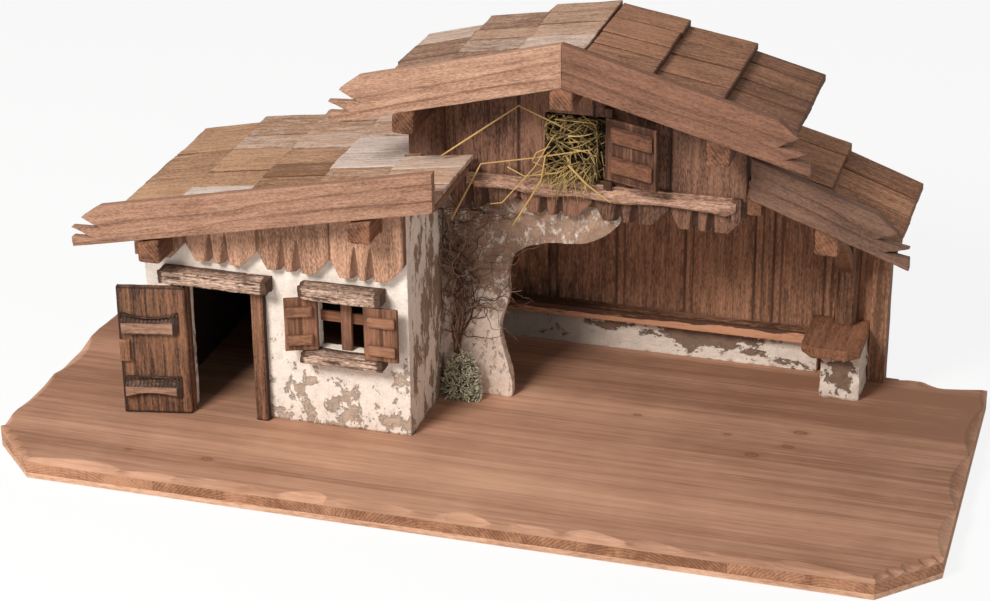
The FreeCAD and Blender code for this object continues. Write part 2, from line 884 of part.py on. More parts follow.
def trimmings():
    recess = hay_recess
    bundle = block(hatch_x + recess, hatch_end_x - recess, gable_clad + recess, gable_clad + hay_depth,
                   hatch_z, hatch_top_z - recess)
    save("hay_bundle", bundle)
    height = gable_cladding_rise - roots_clear
    outline = []
    for share, rise in zip(roots_width_shares, roots_height_shares):
        outline.append((house_right + arch_foot_width * share, base_top + height * rise))
    save("climbing_roots", sheet_xz(outline, arch_face - roots_depth, arch_face))
    wires = []
    for share, rise in zip(moss_shares, moss_rise_shares):
        ring = []
        for k in range(moss_side_count):
            turn = math.tau * k / moss_side_count
            x = house_right + moss_width / 2 + math.cos(turn) * share * moss_width / 2
            y = arch_face - moss_depth / 2 + math.sin(turn) * share * moss_depth / 2
            ring.append(V(x, y, base_top + moss_height * rise))
        wires.append(Part.makePolygon(ring + [ring[0]]))
    save("moss_clump", Part.makeLoft(wires, True, True))


base_board()
house_walls()
house_cladding()
door_trim()
window_trim()
door()
shutter("left_shutter", left_axis, left_shutter_width, 1, -left_shutter_angle)
shutter("right_shutter", right_axis, right_shutter_width, -1, 180)
save("pivot_pins", solids_of(pins))
house_roof()
main_roof()
lower_roof()
bargeboards()
arch()
gable()
cornice()
hatch()
back_wall()
low_wall()
pier_and_post()
trimmings()
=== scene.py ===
"""Looks of the toy stable: weathered wood, plaster, shingles, hay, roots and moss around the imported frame."""

import json
import math
import random

import bmesh
import bpy
from mathutils import Matrix, Vector, noise


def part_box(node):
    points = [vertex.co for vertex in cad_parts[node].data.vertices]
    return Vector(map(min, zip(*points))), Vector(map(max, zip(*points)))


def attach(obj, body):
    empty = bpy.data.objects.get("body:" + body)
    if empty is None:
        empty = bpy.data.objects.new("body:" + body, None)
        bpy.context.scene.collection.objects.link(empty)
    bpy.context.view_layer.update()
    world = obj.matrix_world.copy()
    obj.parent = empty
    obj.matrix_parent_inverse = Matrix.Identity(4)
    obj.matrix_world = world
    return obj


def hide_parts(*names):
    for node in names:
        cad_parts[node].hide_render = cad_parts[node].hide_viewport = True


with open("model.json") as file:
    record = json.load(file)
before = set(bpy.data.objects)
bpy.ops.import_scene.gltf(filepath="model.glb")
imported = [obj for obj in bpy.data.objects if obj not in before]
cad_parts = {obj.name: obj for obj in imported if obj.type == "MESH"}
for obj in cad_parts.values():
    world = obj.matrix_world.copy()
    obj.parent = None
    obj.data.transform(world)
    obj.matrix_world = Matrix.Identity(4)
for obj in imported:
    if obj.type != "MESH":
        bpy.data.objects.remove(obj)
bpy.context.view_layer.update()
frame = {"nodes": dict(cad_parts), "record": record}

MM = 0.001
BODY = "stable"
SEED = 41
# Each board's grain is moved by a seed from 0 to this
SEED_REACH = 9

# Camera solved from the photograph
IMAGE_WIDTH = 990
FOCAL_PX = 2480.92
SENSOR_MM = 36.0
CAMERA_MM = (548.66, -1797.03, 1009.01)
YAW = math.radians(16.897)
PITCH = math.radians(25.110)
ROLL = math.radians(-0.616)


def linear(rgb, share=1.0):
    """Display colour, 0 to 255 each, as linear light or a share of that light."""
    out = []
    for c in rgb:
        c = c / 255.0
        out.append((c / 12.92 if c <= 0.04045 else ((c + 0.055) / 1.055) ** 2.4) * share)
    return tuple(out) + (1.0,)


def grey(value):
    return (value, value, value, 1.0)


def clamp(value, low=0.0, high=1.0):
    return min(high, max(low, value))


def wobble(x, y, z):
    """Smooth noise around zero."""
    return noise.noise(Vector((x, y, z)))


def span(bm, axis):
    """The least and the greatest coordinate of a mesh along an axis."""
    k = "xyz".index(axis)
    values = [v.co[k] for v in bm.verts]
    return min(values), max(values)


def axis_scales(share):
    """For each axis, scales that are smaller along it, so that a pattern is drawn out that way."""
    return {axis: tuple(share if other == axis else 1.0 for other in "xyz") for axis in "xyz"}


def body_of(node):
    for body, members in frame["record"]["behaviour"]["bodies"].items():
        if node in members:
            return body
    return BODY


# Materials

EVEN = (1, 1, 1)
SPECULAR = 0.25
SEED_SHIFT = 3.7


class Graph:
    """A small helper that adds shader nodes and links them."""

    def __init__(self, name):
        self.material = bpy.data.materials.new(name)
        self.material.use_nodes = True
        self.tree = self.material.node_tree
        self.shader = self.tree.nodes["Principled BSDF"]

    def add(self, kind, **values):
        node = self.tree.nodes.new(kind)
        for key, value in values.items():
            if hasattr(node, key):
                setattr(node, key, value)
            else:
                node.inputs[key].default_value = value
        return node

    def link(self, a, b):
        self.tree.links.new(a, b)

    def feed(self, socket, value):
        """Gives a socket a constant, or a link from another socket."""
        if isinstance(value, (int, float, tuple)):
            socket.default_value = value
        else:
            self.link(value, socket)

    def math(self, kind, a, b):
        node = self.add("ShaderNodeMath", operation=kind)
        self.feed(node.inputs[0], a)
        self.feed(node.inputs[1], b)
        return node.outputs[0]

    def vector(self, kind, a, b=(0.0, 0.0, 0.0)):
        node = self.add("ShaderNodeVectorMath", operation=kind)
        self.feed(node.inputs[0], a)
        self.feed(node.inputs[1], b)
        return node.outputs["Value" if kind == "LENGTH" else "Vector"]

    def total(self, *terms):
        """The sum of sockets, each times its weight."""
        parts = [self.math("MULTIPLY", socket, weight) for socket, weight in terms]
        out = parts[0]
        for part in parts[1:]:
            out = self.math("ADD", out, part)
        return out

    def centred(self, socket):
        return self.math("SUBTRACT", socket, 0.5)

    def mark(self, name):
        """A value that each vertex of the mesh carries."""
        return self.add("ShaderNodeAttribute", attribute_name=name).outputs["Fac"]

    def coords(self, scale, tilt=0.0):
        place = self.add("ShaderNodeTexCoord")
        turn = self.add("ShaderNodeMapping", vector_type="POINT", Rotation=(0, tilt, 0))
        stretch = self.add("ShaderNodeMapping", vector_type="POINT", Scale=scale)
        self.link(place.outputs["Object"], turn.inputs["Vector"])
        self.link(turn.outputs[0], stretch.inputs["Vector"])
        return stretch.outputs[0]

    def shifted(self, vector):
        """Moves a pattern by each board's own seed, so that no two boards share their grain."""
        seed = self.add("ShaderNodeAttribute", attribute_name="seed")
        far = self.add("ShaderNodeVectorMath", operation="SCALE", Scale=SEED_SHIFT)
        self.link(seed.outputs["Vector"], far.inputs[0])
        return self.vector("ADD", vector, far.outputs[0])

    def noise(self, vector, scale, detail, rough, twist=0.0):
        node = self.add("ShaderNodeTexNoise", Scale=scale, Detail=detail, Roughness=rough, Distortion=twist)
        self.link(vector, node.inputs["Vector"])
        return node.outputs["Fac"]

    def ramp(self, fac, *stops):
        node = self.add("ShaderNodeValToRGB")
        elements = node.color_ramp.elements
        while len(elements) < len(stops):
            elements.new(0.5)
        for element, (place, colour) in zip(elements, stops):
            element.position = place
            element.color = colour
        self.link(fac, node.inputs[0])
        return node.outputs[0]

    def mix(self, fac, a, b):
        node = self.add("ShaderNodeMix", data_type="RGBA")
        self.link(fac, node.inputs[0])
        self.feed(node.inputs[6], a)
        self.feed(node.inputs[7], b)
        return node.outputs[2]

    def map_range(self, value, **ends):
        """Maps a value from one range to another; from_min and the like name the ends."""
        node = self.add("ShaderNodeMapRange", **{key.replace("_", " ").title(): v for key, v in ends.items()})
        self.link(value, node.inputs["Value"])
        return node.outputs[0]

    def finish(self, colour, height, depth, rough_low, rough_high, rough_fac):
        self.link(colour, self.shader.inputs["Base Color"])
        bump = self.add("ShaderNodeBump", Strength=1.0, Distance=depth)
        self.link(height, bump.inputs["Height"])
        self.link(bump.outputs[0], self.shader.inputs["Normal"])
        self.link(self.map_range(rough_fac, to_min=rough_low, to_max=rough_high), self.shader.inputs["Roughness"])
        self.shader.inputs["Specular IOR Level"].default_value = SPECULAR
        return self.material


GRAIN = {**axis_scales(0.06), "long": (0.02, 1.0, 1.0)}
FLECK = {**axis_scales(0.28), "long": (0.12, 1.0, 1.0)}
FIBRE_RATIO = 2.6
CLOUD_SCALE = 24.0
FIGURE_SCALE = 30.0
DUST_SCALE = 190.0
WORN_LIGHT = 0.58
KNOT_STRETCH = (0.55, 1.0, 1.0)
KNOT_BROWN = (118, 72, 46)
# How strongly a knot shows, by share of its size from the heart out
KNOT_RINGS = ((0.0, 0.75), (0.22, 0.35), (0.42, 0.8), (0.58, 0.2), (1.0, 0.0))


def knot(g, colour, place, size):
    """A small dark knot with a paler ring, at a place in millimetres."""
    near = g.add("ShaderNodeMapping", vector_type="POINT", Location=tuple(-c * MM for c in place))
    g.link(g.add("ShaderNodeTexCoord").outputs["Object"], near.inputs["Vector"])
    far = g.vector("LENGTH", g.vector("MULTIPLY", near.outputs[0], KNOT_STRETCH))
    share = g.math("DIVIDE", far, size * MM)
    heart = g.ramp(share, *((at, grey(value)) for at, value in KNOT_RINGS))
    return g.mix(heart, colour, linear(KNOT_BROWN))


def wood(name, light, dark, axis, tone_reach, ring, bump, tilt=0.0, spread=0.13, pores=0.35, chalk=None,
         knots=(), twist=0.7, grit=560.0, figure=0.0):
    """Stained wood with its grain along one axis; the tone of each board comes from its mesh."""
    g = Graph(name)
    along = g.shifted(g.coords(GRAIN[axis], tilt))
    short = g.shifted(g.coords(FLECK[axis], tilt))
    streak = g.noise(along, ring, 5.0, 0.62, twist)
    fibre = g.noise(along, ring * FIBRE_RATIO, 4.0, 0.65)
    cloud = g.noise(g.shifted(g.coords(EVEN)), CLOUD_SCALE, 3.0, 0.5)
    fleck = g.noise(short, grit, 2.0, 0.5)
    terms = [(streak, 0.4), (fibre, 0.4), (cloud, 0.2), (g.centred(fleck), pores),
             (g.centred(g.mark("tone")), tone_reach)]
    if figure:
        terms.append((g.centred(g.noise(along, FIGURE_SCALE, 3.0, 0.5)), figure))
    middle = tuple((a * 0.5 + b * 0.5) for a, b in zip(linear(light), linear(dark)))
    colour = g.ramp(g.total(*terms), (0.5 - spread, linear(dark)), (0.5, middle), (0.5 + spread, linear(light)))
    for place, size in knots:
        colour = knot(g, colour, place, size)
    if chalk:
        dusty = g.noise(short, DUST_SCALE, 6.0, 0.7)
        mask = g.ramp(g.total((g.mark("chalk"), 0.55), (dusty, 0.75)), (0.50, grey(0.0)), (0.74, grey(0.92)))
        grain = g.total((fibre, 0.6), (fleck, 0.4))
        colour = g.mix(mask, colour, g.ramp(grain, (0.38, linear(chalk, WORN_LIGHT)), (0.56, linear(chalk))))
    height = g.total((streak, 0.5), (fibre, 0.6), (fleck, pores))
    return g.finish(colour, height, bump * MM, 0.64, 0.86, fibre)


# Where the heart of a stave's rings lies: least distance, and how far its seed moves it, in metres
HEART_NEAR = 0.012
HEART_REACH = 0.006


def end_grain(name, light, dark):
    """Cut ends of the core staves: growth rings around a heart that lies outside each stave."""
    g = Graph(name)
    plain = g.coords(EVEN)
    place = g.add("ShaderNodeSeparateXYZ")
    g.link(plain, place.inputs[0])
    heart = g.math("ADD", g.math("MULTIPLY", g.mark("seed"), HEART_REACH), HEART_NEAR)
    around = g.add("ShaderNodeCombineXYZ")
    g.link(g.mark("chalk"), around.inputs["X"])
    g.link(g.math("ADD", place.outputs["Z"], heart), around.inputs["Z"])
    wave = g.add("ShaderNodeTexWave", wave_type="RINGS", rings_direction="Y", Scale=120.0, Distortion=5.0,
                 Detail=2.0, **{"Detail Scale": 1.5})
    g.link(around.outputs[0], wave.inputs["Vector"])
    rings = wave.outputs["Fac"]
    cloud = g.noise(plain, 60.0, 5.0, 0.6)
    fibre = g.noise(g.coords((1.0, 0.1, 0.35)), 420.0, 3.0, 0.6)
    fac = g.total((rings, 0.12), (cloud, 0.6), (fibre, 0.3), (g.centred(g.mark("tone")), 0.5))
    return g.finish(g.ramp(fac, (0.38, linear(dark)), (0.66, linear(light))), rings, 0.15 * MM, 0.7, 0.88, cloud)


# Colour of the painted shade inside the house and in the bay's corner
WALL_SHADE_COLOUR = (46, 36, 30)
PLASTER_LIFT = 1.2
COAT_SHADE = 0.84
BARE_SHADE = 0.62


def plaster(name, coat, bare, cover, low=None, wear=(0.05, -0.16), stretch=(1.3, 1.3, 0.5), size=46.0, soft=0.02,
            spots=()):
    """Plaster that has come off in patches: wear is added at the two heights of low, and around each spot."""
    g = Graph(name)
    plain = g.coords(EVEN)
    patch = g.noise(g.coords(stretch), size, 10.0, 0.72, 0.2)
    grit = g.noise(plain, 520.0, 4.0, 0.6)
    lump = g.noise(plain, 110.0, 4.0, 0.55)
    if low:
        split = g.add("ShaderNodeSeparateXYZ")
        g.link(plain, split.inputs[0])
        worn = g.map_range(split.outputs["Z"], from_min=low[0] * MM, from_max=low[1] * MM, to_min=wear[0],
                           to_max=wear[1])
        patch = g.math("ADD", patch, worn)
    for place, reach, gain in spots:
        far = g.vector("LENGTH", g.vector("DIVIDE", g.vector("SUBTRACT", plain, place), reach))
        fall = g.math("SUBTRACT", 1.0, g.math("MINIMUM", far, 1.0))
        patch = g.math("ADD", patch, g.math("MULTIPLY", fall, gain))
    mask = g.ramp(patch, (cover, grey(0.0)), (cover + soft, grey(1.0)))
    tint = g.total((lump, 0.6), (grit, 0.4))
    white = g.ramp(tint, (0.36, linear(coat, COAT_SHADE)), (0.56, linear(coat)))
    brown = g.ramp(tint, (0.34, linear(bare, BARE_SHADE)), (0.62, linear(bare)))
    # a tone below one blends the plaster towards the painted shade colour
    colour = g.mix(g.mark("tone"), linear(WALL_SHADE_COLOUR), g.mix(mask, white, brown))
    height = g.total((lump, 0.7), (grit, 0.6), (g.math("SUBTRACT", 1.0, mask), 0.5))
    return g.finish(colour, height, PLASTER_LIFT * MM, 0.85, 0.97, grit)


def plant(name, light, dark, scale):
    """Dry stems: each strand has its own tone."""
    g = Graph(name)
    spot = g.noise(g.coords(EVEN), scale, 3.0, 0.6)
    fac = g.total((spot, 0.5), (g.mark("tone"), 0.6))
    return g.finish(g.ramp(fac, (0.25, linear(dark)), (0.85, linear(light))), spot, 0.1 * MM, 0.75, 0.85, spot)


def steel(name):
    g = Graph(name)
    scratch = g.noise(g.coords((1, 1, 0.05)), 900.0, 3.0, 0.6)
    colour = g.ramp(scratch, (0.3, linear((120, 116, 110))), (0.7, linear((170, 168, 164))))
    g.shader.inputs["Metallic"].default_value = 1.0
    return g.finish(colour, scratch, 0.02 * MM, 0.3, 0.5, scratch)


# Knots in the base board: place in millimetres and size
KNOTS = (((226, -8, 19), 6.5), ((252, 14, 19), 5.5), ((258, 41, 19), 6.5), ((118, 36, 19), 4.0),
         ((199, 22, 19), 3.5), ((-207, -136, 19), 5.5), ((-277, -138, 19), 3.5))
SPOT_DEPTH = 60


def worn_spot(node, along, up, reach_along, reach_up, gain):
    """A worn place on a wall's front, by shares of the wall's length and height."""
    low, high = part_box(node)
    size = high - low
    place = (low.x + size.x * along, low.y, low.z + size.z * up)
    return place, (size.x * reach_along, SPOT_DEPTH * MM, size.z * reach_up), gain


# Colour of the painted shadow in the bay's corner, which the back boards' chalk layer lays on
BAY_SHADOW = (38, 27, 21)
LOW_WALL_WEAR = (worn_spot("low_wall", 0.66, 0.6, 0.2, 0.62, 0.25), worn_spot("low_wall", 0.4, 0.75, 0.14, 0.4, 0.1))
PIER_WEAR = (worn_spot("pier", 0.5, 0.5, 0.5, 0.6, 0.28),)

# Each wood: light and dark stain, grain axis, reach of the boards' tones, scale of the rings, depth of the grain
MAT = {
    "base_x": wood("base_board_wood", (214, 166, 137), (142, 101, 78), "long", 0.3, 230.0, 0.12, spread=0.24,
                   pores=0.12, knots=KNOTS, twist=0.1, figure=0.7),
    "base_core": end_grain("base_core_wood", (186, 136, 105), (126, 84, 60)),
    "base_pale": wood("base_pale_wood", (222, 178, 148), (168, 122, 94), "x", 0.3, 120.0, 0.3),
    "plaster": plaster("house_plaster", (249, 235, 222), (205, 181, 161), 0.565, low=(50, 150),
                       stretch=(1.0, 1.0, 0.8), size=62.0, soft=0.035),
    "plaster_worn": plaster("worn_plaster", (240, 219, 203), (174, 141, 119), 0.535, low=(96, 132),
                            wear=(-0.01, 0.13), stretch=(1.2, 1.2, 0.7), size=105.0, soft=0.1),
    "plaster_side": plaster("side_plaster", (255, 240, 225), (177, 147, 125), 0.495),
    "plaster_low": plaster("low_wall_plaster", (236, 222, 208), (140, 115, 97), 0.585, stretch=(0.6, 1.0, 1.0),
                           size=62.0, soft=0.03, spots=LOW_WALL_WEAR),
    "plaster_pier": plaster("pier_plaster", (228, 212, 198), (139, 113, 94), 0.6, stretch=(1.0, 1.0, 1.0),
                            size=90.0, soft=0.03, spots=PIER_WEAR),
    "clad": wood("cladding_wood", (208, 161, 132), (126, 91, 71), "z", 0.4, 190.0, 0.5, spread=0.16, pores=0.7,
                 grit=1000.0),
    "dark_clad": wood("gable_wood", (144, 104, 83), (72, 49, 38), "z", 0.45, 190.0, 0.5, pores=0.5, grit=900.0),
    # the back boards' chalk colour is a painted shadow in the bay's corner
    "back": wood("back_wall_wood", (194, 142, 111), (110, 78, 60), "z", 0.45, 190.0, 0.4, pores=0.4, chalk=BAY_SHADOW,
                 grit=800.0),
    "burnt": wood("burnt_wood", (172, 122, 91), (58, 40, 32), "z", 0.5, 210.0, 0.5, spread=0.16, pores=0.25,
                  grit=900.0),
    "burnt_x": wood("burnt_cross_wood", (180, 138, 114), (62, 45, 36), "x", 0.5, 200.0, 0.5, spread=0.17, pores=0.2),
    "trim": wood("trim_wood", (240, 204, 180), (84, 62, 50), "x", 0.6, 230.0, 1.0, spread=0.2, pores=0.6, grit=900.0),
    "red_z": wood("red_wood", (177, 125, 97), (98, 65, 48), "z", 0.4, 190.0, 0.4, pores=0.12),
    "red_x": wood("red_cross_wood", (178, 128, 98), (104, 70, 52), "x", 0.4, 190.0, 0.4, pores=0.12),
    "hatch_z": wood("hatch_wood", (150, 106, 82), (72, 47, 35), "z", 0.4, 190.0, 0.4, pores=0.2),
    "hatch_x": wood("hatch_cross_wood", (160, 108, 80), (74, 48, 35), "x", 0.5, 240.0, 0.4, spread=0.18, pores=0.1),
    "beam": wood("beam_wood", (152, 104, 78), (84, 55, 40), "y", 0.5, 170.0, 0.6, pores=0.2, chalk=(222, 196, 180)),
    "roof_board": wood("roof_board_wood", (158, 114, 88), (96, 68, 52), "x", 0.3, 120.0, 0.5),
    "plank": wood("plank_wood", (202, 148, 115), (86, 58, 43), "x", 0.5, 130.0, 0.8, chalk=(226, 196, 176)),
    "cap": wood("cap_wood", (160, 110, 82), (96, 64, 46), "y", 0.35, 120.0, 0.4),
    "cornice": wood("cornice_wood", (214, 170, 145), (118, 87, 71), "x", 0.5, 190.0, 0.9, spread=0.19, pores=0.7,
                    grit=1000.0),
    # the hay's near-black dark end is painted shade for strands deep in the bundle
    "hay": plant("hay_stems", (204, 172, 112), (18, 14, 7), 90.0),
    "stalk": plant("straw_stalks", (206, 170, 108), (150, 118, 66), 60.0),
    "roots": plant("root_bark", (190, 150, 126), (62, 46, 37), 160.0),
    "moss": plant("moss_tufts", (244, 238, 208), (102, 97, 77), 220.0),
    "steel": steel("pin_steel"),
}

# Each roof slope: tilt in degrees, stains of its bargeboard, stains of its shingles and the chalk on them
SLOPES = {
    "house": (11.7, (180, 138, 113), (116, 81, 63), (204, 160, 126), (122, 85, 60), (228, 208, 196)),
    "left": (14.0, (203, 161, 135), (136, 98, 77), (206, 168, 142), (122, 88, 69), (230, 210, 196)),
    "right": (-15.0, (146, 104, 83), (87, 59, 46), (179, 130, 100), (98, 66, 48), (190, 160, 142)),
    "lower": (-20.0, (135, 102, 84), (84, 61, 49), (220, 163, 125), (126, 85, 62), None),
}
for slope, (degrees, barge_light, barge_dark, light, dark, chalk) in SLOPES.items():
    tilt = math.radians(degrees)
    MAT["barge_" + slope] = wood(slope + "_bargeboard_wood", barge_light, barge_dark, "x", 0.5, 170.0, 0.8, tilt,
                                 0.18, 0.6, grit=1100.0)
    MAT["shingle_" + slope] = wood(slope + "_shingle_wood", light, dark, "x", 0.55, 190.0, 0.9, tilt, 0.14, 0.6,
                                   chalk, grit=1000.0)


# Mesh helpers

MARKS = ("tone", "seed", "chalk")
STRETCH = axis_scales(0.12)
FLAT_ANGLE = math.radians(1.0)
SHARP_ANGLE = math.radians(18)
RUB_ANGLE = math.radians(9)
FOOT_REACH = 0.1
REFINE_ROUNDS = 6


def make_object(name, bm, material, body, replaced=(), smooth=True):
    mesh = bpy.data.meshes.new(name)
    for face in bm.faces:
        face.smooth = smooth
    bm.to_mesh(mesh)
    bm.free()
    mesh.materials.append(material)
    piece = bpy.data.objects.new(name, mesh)
    bpy.context.scene.collection.objects.link(piece)
    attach(piece, body)
    if replaced:
        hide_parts(*replaced)
    return piece


def layers(bm):
    found = bm.verts.layers.float
    return [found.get(name) or found.new(name) for name in MARKS]


def new_mesh():
    bm = bmesh.new()
    layers(bm)
    return bm


def islands(node):
    """The separate solids of a CAD node: faces are taken in turn until they close into a shell."""
    mesh = frame["nodes"][node].data
    spots = [tuple(round(c, 5) for c in v.co) for v in mesh.vertices]
    shells = [[]]
    loose = set()
    for polygon in mesh.polygons:
        ring = [spots[i] for i in polygon.vertices]
        if len(set(ring)) < 3:
            continue
        shells[-1].append(ring)
        for pair in zip(ring, ring[1:] + ring[:1]):
            loose ^= {frozenset(pair)}
        if not loose:
            shells.append([])
    parts = []
    for shell in shells:
        if not shell:
            continue
        part = new_mesh()
        verts = {}
        for ring in shell:
            for spot in ring:
                if spot not in verts:
                    verts[spot] = part.verts.new(spot)
            part.faces.new([verts[spot] for spot in ring])
        bmesh.ops.recalc_face_normals(part, faces=part.faces)
        parts.append(part)
    parts.sort(key=lambda b: tuple(round(span(b, axis)[0], 4) for axis in "zxy"))
    return parts


def refine(bm, step, zone=None):
    """Splits long edges until none is longer than step, everywhere or where zone says so."""
    for _ in range(REFINE_ROUNDS):
        long_edges = [e for e in bm.edges if e.calc_length() > step]
        if zone:
            long_edges = [e for e in long_edges if zone(e.verts[0].co) and zone(e.verts[1].co)]
        if not long_edges:
            break
        bmesh.ops.subdivide_edges(bm, edges=long_edges, cuts=1)
        bmesh.ops.triangulate(bm, faces=[f for f in bm.faces if len(f.verts) > 3])


def soften(bm, width, segments=2, stands=False):
    """Rounds the sharp edges, apart from those of a foot that stands on something."""
    bmesh.ops.dissolve_limit(bm, angle_limit=FLAT_ANGLE, verts=bm.verts, edges=bm.edges)
    sharp = [e for e in bm.edges if len(e.link_faces) == 2 and e.calc_face_angle(0.0) > SHARP_ANGLE]
    if stands:
        foot = span(bm, "z")[0] + FOOT_REACH * MM
        sharp = [e for e in sharp if e.verts[0].co.z > foot or e.verts[1].co.z > foot]
    bmesh.ops.bevel(bm, geom=sharp, offset=width, segments=segments, profile=0.6, affect="EDGES",
                    clamp_overlap=True)
    bmesh.ops.triangulate(bm, faces=bm.faces)


def roughen(bm, amount, size, stretch=EVEN, seed=0.0):
    """Moves the surface in and out by smooth noise, for hewn wood and trowelled plaster."""
    bm.normal_update()
    shift = Vector((seed * 3.1, seed * 1.7, seed * 2.3))
    moves = []
    for v in bm.verts:
        p = Vector((v.co.x * stretch[0], v.co.y * stretch[1], v.co.z * stretch[2])) / size + shift
        moves.append(v.normal * (noise.fractal(p, 0.8, 2.0, 3) * amount))
    for v, move in zip(bm.verts, moves):
        v.co += move


def paint(bm, tone, seed, chalk=0.0):
    for layer, value in zip(layers(bm), (tone, seed, chalk)):
        for v in bm.verts:
            v[layer] = value


def rub_edges(bm, change):
    """Rubbed or stained edges: the tone changes where the surface turns."""
    tone = layers(bm)[0]
    for v in bm.verts:
        turn = max((e.calc_face_angle(0.0) for e in v.link_edges if len(e.link_faces) == 2), default=0.0)
        if turn > RUB_ANGLE:
            v[tone] += change


def merge(parts):
    whole = new_mesh()
    for part in parts:
        mesh = bpy.data.meshes.new("part")
        part.to_mesh(mesh)
        part.free()
        whole.from_mesh(mesh)
        bpy.data.meshes.remove(mesh)
    return whole


def bridge(bm, a, b):
    """Faces between two closed rings of as many vertices."""
    for k in range(len(a)):
        n = (k + 1) % len(a)
        bm.faces.new((a[k], a[n], b[n], b[k]))


def hewn(node, material, grain, bevel=0.8, step=5.0, rough=0.35, size=7.0, tones=(0.35, 0.65), shape=None, edge=0.0,
         fine=None, stands=False, segments=2):
    """A CAD node as worked wood: its edges rounded by bevel, tool marks rough deep and size long along the grain."""
    rng = random.Random(SEED + sum(ord(c) for c in node))
    parts = []
    for part in islands(node):
        soften(part, bevel * MM, segments, stands)
        refine(part, step * MM)
        if fine:
            refine(part, fine[0] * MM, fine[1](part))
        paint(part, rng.uniform(*tones), rng.random() * SEED_REACH)
        if edge:
            rub_edges(part, edge)
        if shape:
            shape(part)
        roughen(part, rough * MM, size * MM, STRETCH.get(grain, EVEN), rng.random() * SEED_REACH)
        parts.append(part)
    return make_object(node + "_worked", merge(parts), MAT[material], body_of(node), (node,))


def front_zone(depth):
    """The front of a piece, to the given depth in millimetres."""
    def zone_of(part):
        front = span(part, "y")[0]
        return lambda p: p.y < front + depth * MM
    return zone_of


def board_zone(foot_height, left, right):
    """The foot and the two long edges of a board."""
    def zone_of(part):
        x0, x1 = span(part, "x")
        foot = span(part, "z")[0]
        return lambda p: p.z < foot + foot_height * MM or p.x < x0 + left * MM or p.x > x1 - right * MM
    return zone_of


# Base board: three layers, the top edge cut back by hand in overlapping scallops

EDGE_STEP = 2.5
CORNER_LENGTH = 90.0
# Length, depth and bareness of a cut on a long side and at a corner, and how far on the next one starts
LONG_CUT = (38.0, 95.0)
SHORT_CUT = (13.0, 18.0)
CUT_DEPTH = (4.0, 11.0)
CORNER_DEPTH = (5.0, 8.0)
BARE_POWER = 1.5
CORNER_BARE = 0.1
CUT_PACE = (0.85, 1.35)
CUT_HALF = 0.56
# Cuts of an edge that is left plain and of one between scallops, and the rim inside a cut
PLAIN_CUT = 0.5
LEAST_CUT = 0.6
CUT_RIM = 1.5
WALL_MARGIN = 12
INNER_RINGS = (0.8, 0.55, 0.3, 0.1)
# Painted light and shade on the top: it is lightest around this place and in front of it, and darker to the sides and
# towards the back
LIT_CENTRE_X = 20.0
LIT_CENTRE_Y = -60.0
PAINTED_SHADE_RIGHT = 1.25
PAINTED_SHADE_LEFT = 0.8
PAINTED_SHADE_BACK = 0.45


def outline_corners(node):
    """The corners of a layer's outline, in turn around it."""
    low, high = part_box(node)
    part = islands(node)[0]
    ring = set()
    for v in part.verts:
        to_border = min(v.co.x - low.x, high.x - v.co.x, v.co.y - low.y, high.y - v.co.y)
        if to_border < 0.1 * MM:
            ring.add((round(v.co.x, 5), round(v.co.y, 5)))
    part.free()
    centre = (low + high) / 2
    return sorted(ring, key=lambda p: math.atan2(p[1] - centre.y, p[0] - centre.x))


def scallops(length, rng):
    """Cuts along one side: centre, half length and depth of each, in millimetres, and how bare its wood is."""
    long_side = length >= CORNER_LENGTH
    cuts = []
    at = 0.0
    while at < length:
        run = rng.uniform(*(LONG_CUT if long_side else SHORT_CUT))
        depth = rng.uniform(*(CUT_DEPTH if long_side else CORNER_DEPTH))
        bare = rng.random() ** BARE_POWER if long_side else CORNER_BARE
        cuts.append((at + run / 2, run * CUT_HALF, depth, bare))
        at += run * (rng.uniform(*CUT_PACE) if long_side else 1.0)
    return cuts


def edge_rows(node, carved):
    """Points around a layer: place, way inward, depth of the cut there, its slope and how bare it is."""
    rng = random.Random(SEED)
    low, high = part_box(node)
    wall_low, wall_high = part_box("back_wall_boards")
    corners = outline_corners(node)
    centre = (low + high) / 2
    rows = []
    for (ax, ay), (bx, by) in zip(corners, corners[1:] + corners[:1]):
        length = math.hypot(bx - ax, by - ay) / MM
        count = max(2, int(length / EDGE_STEP))
        side = Vector((by - ay, ax - bx, 0)).normalized()
        cuts = scallops(length, rng)
        for i in range(count):
            t = i / count
            at = t * length
            p = Vector((ax + (bx - ax) * t, ay + (by - ay) * t, 0))
            cut, bare = PLAIN_CUT, 0.0
            walled = side.y > 0.9 and wall_low.x - WALL_MARGIN * MM < p.x < wall_high.x + WALL_MARGIN * MM
            if carved and not walled:
                here = [(d * (1 - ((at - c) / h) ** 2), b) for c, h, d, b in cuts if abs(at - c) < h]
                cut, bare = max(here + [(LEAST_CUT, 0.0)])
            toward = Vector((centre.x - p.x, centre.y - p.y, 0)).normalized()
            slope = 0.55 + 0.25 * wobble(at * 0.03, side.x * 9, SEED)
            rows.append((p, toward / max(toward.dot(-side), 0.3), cut, slope, bare))
    return rows


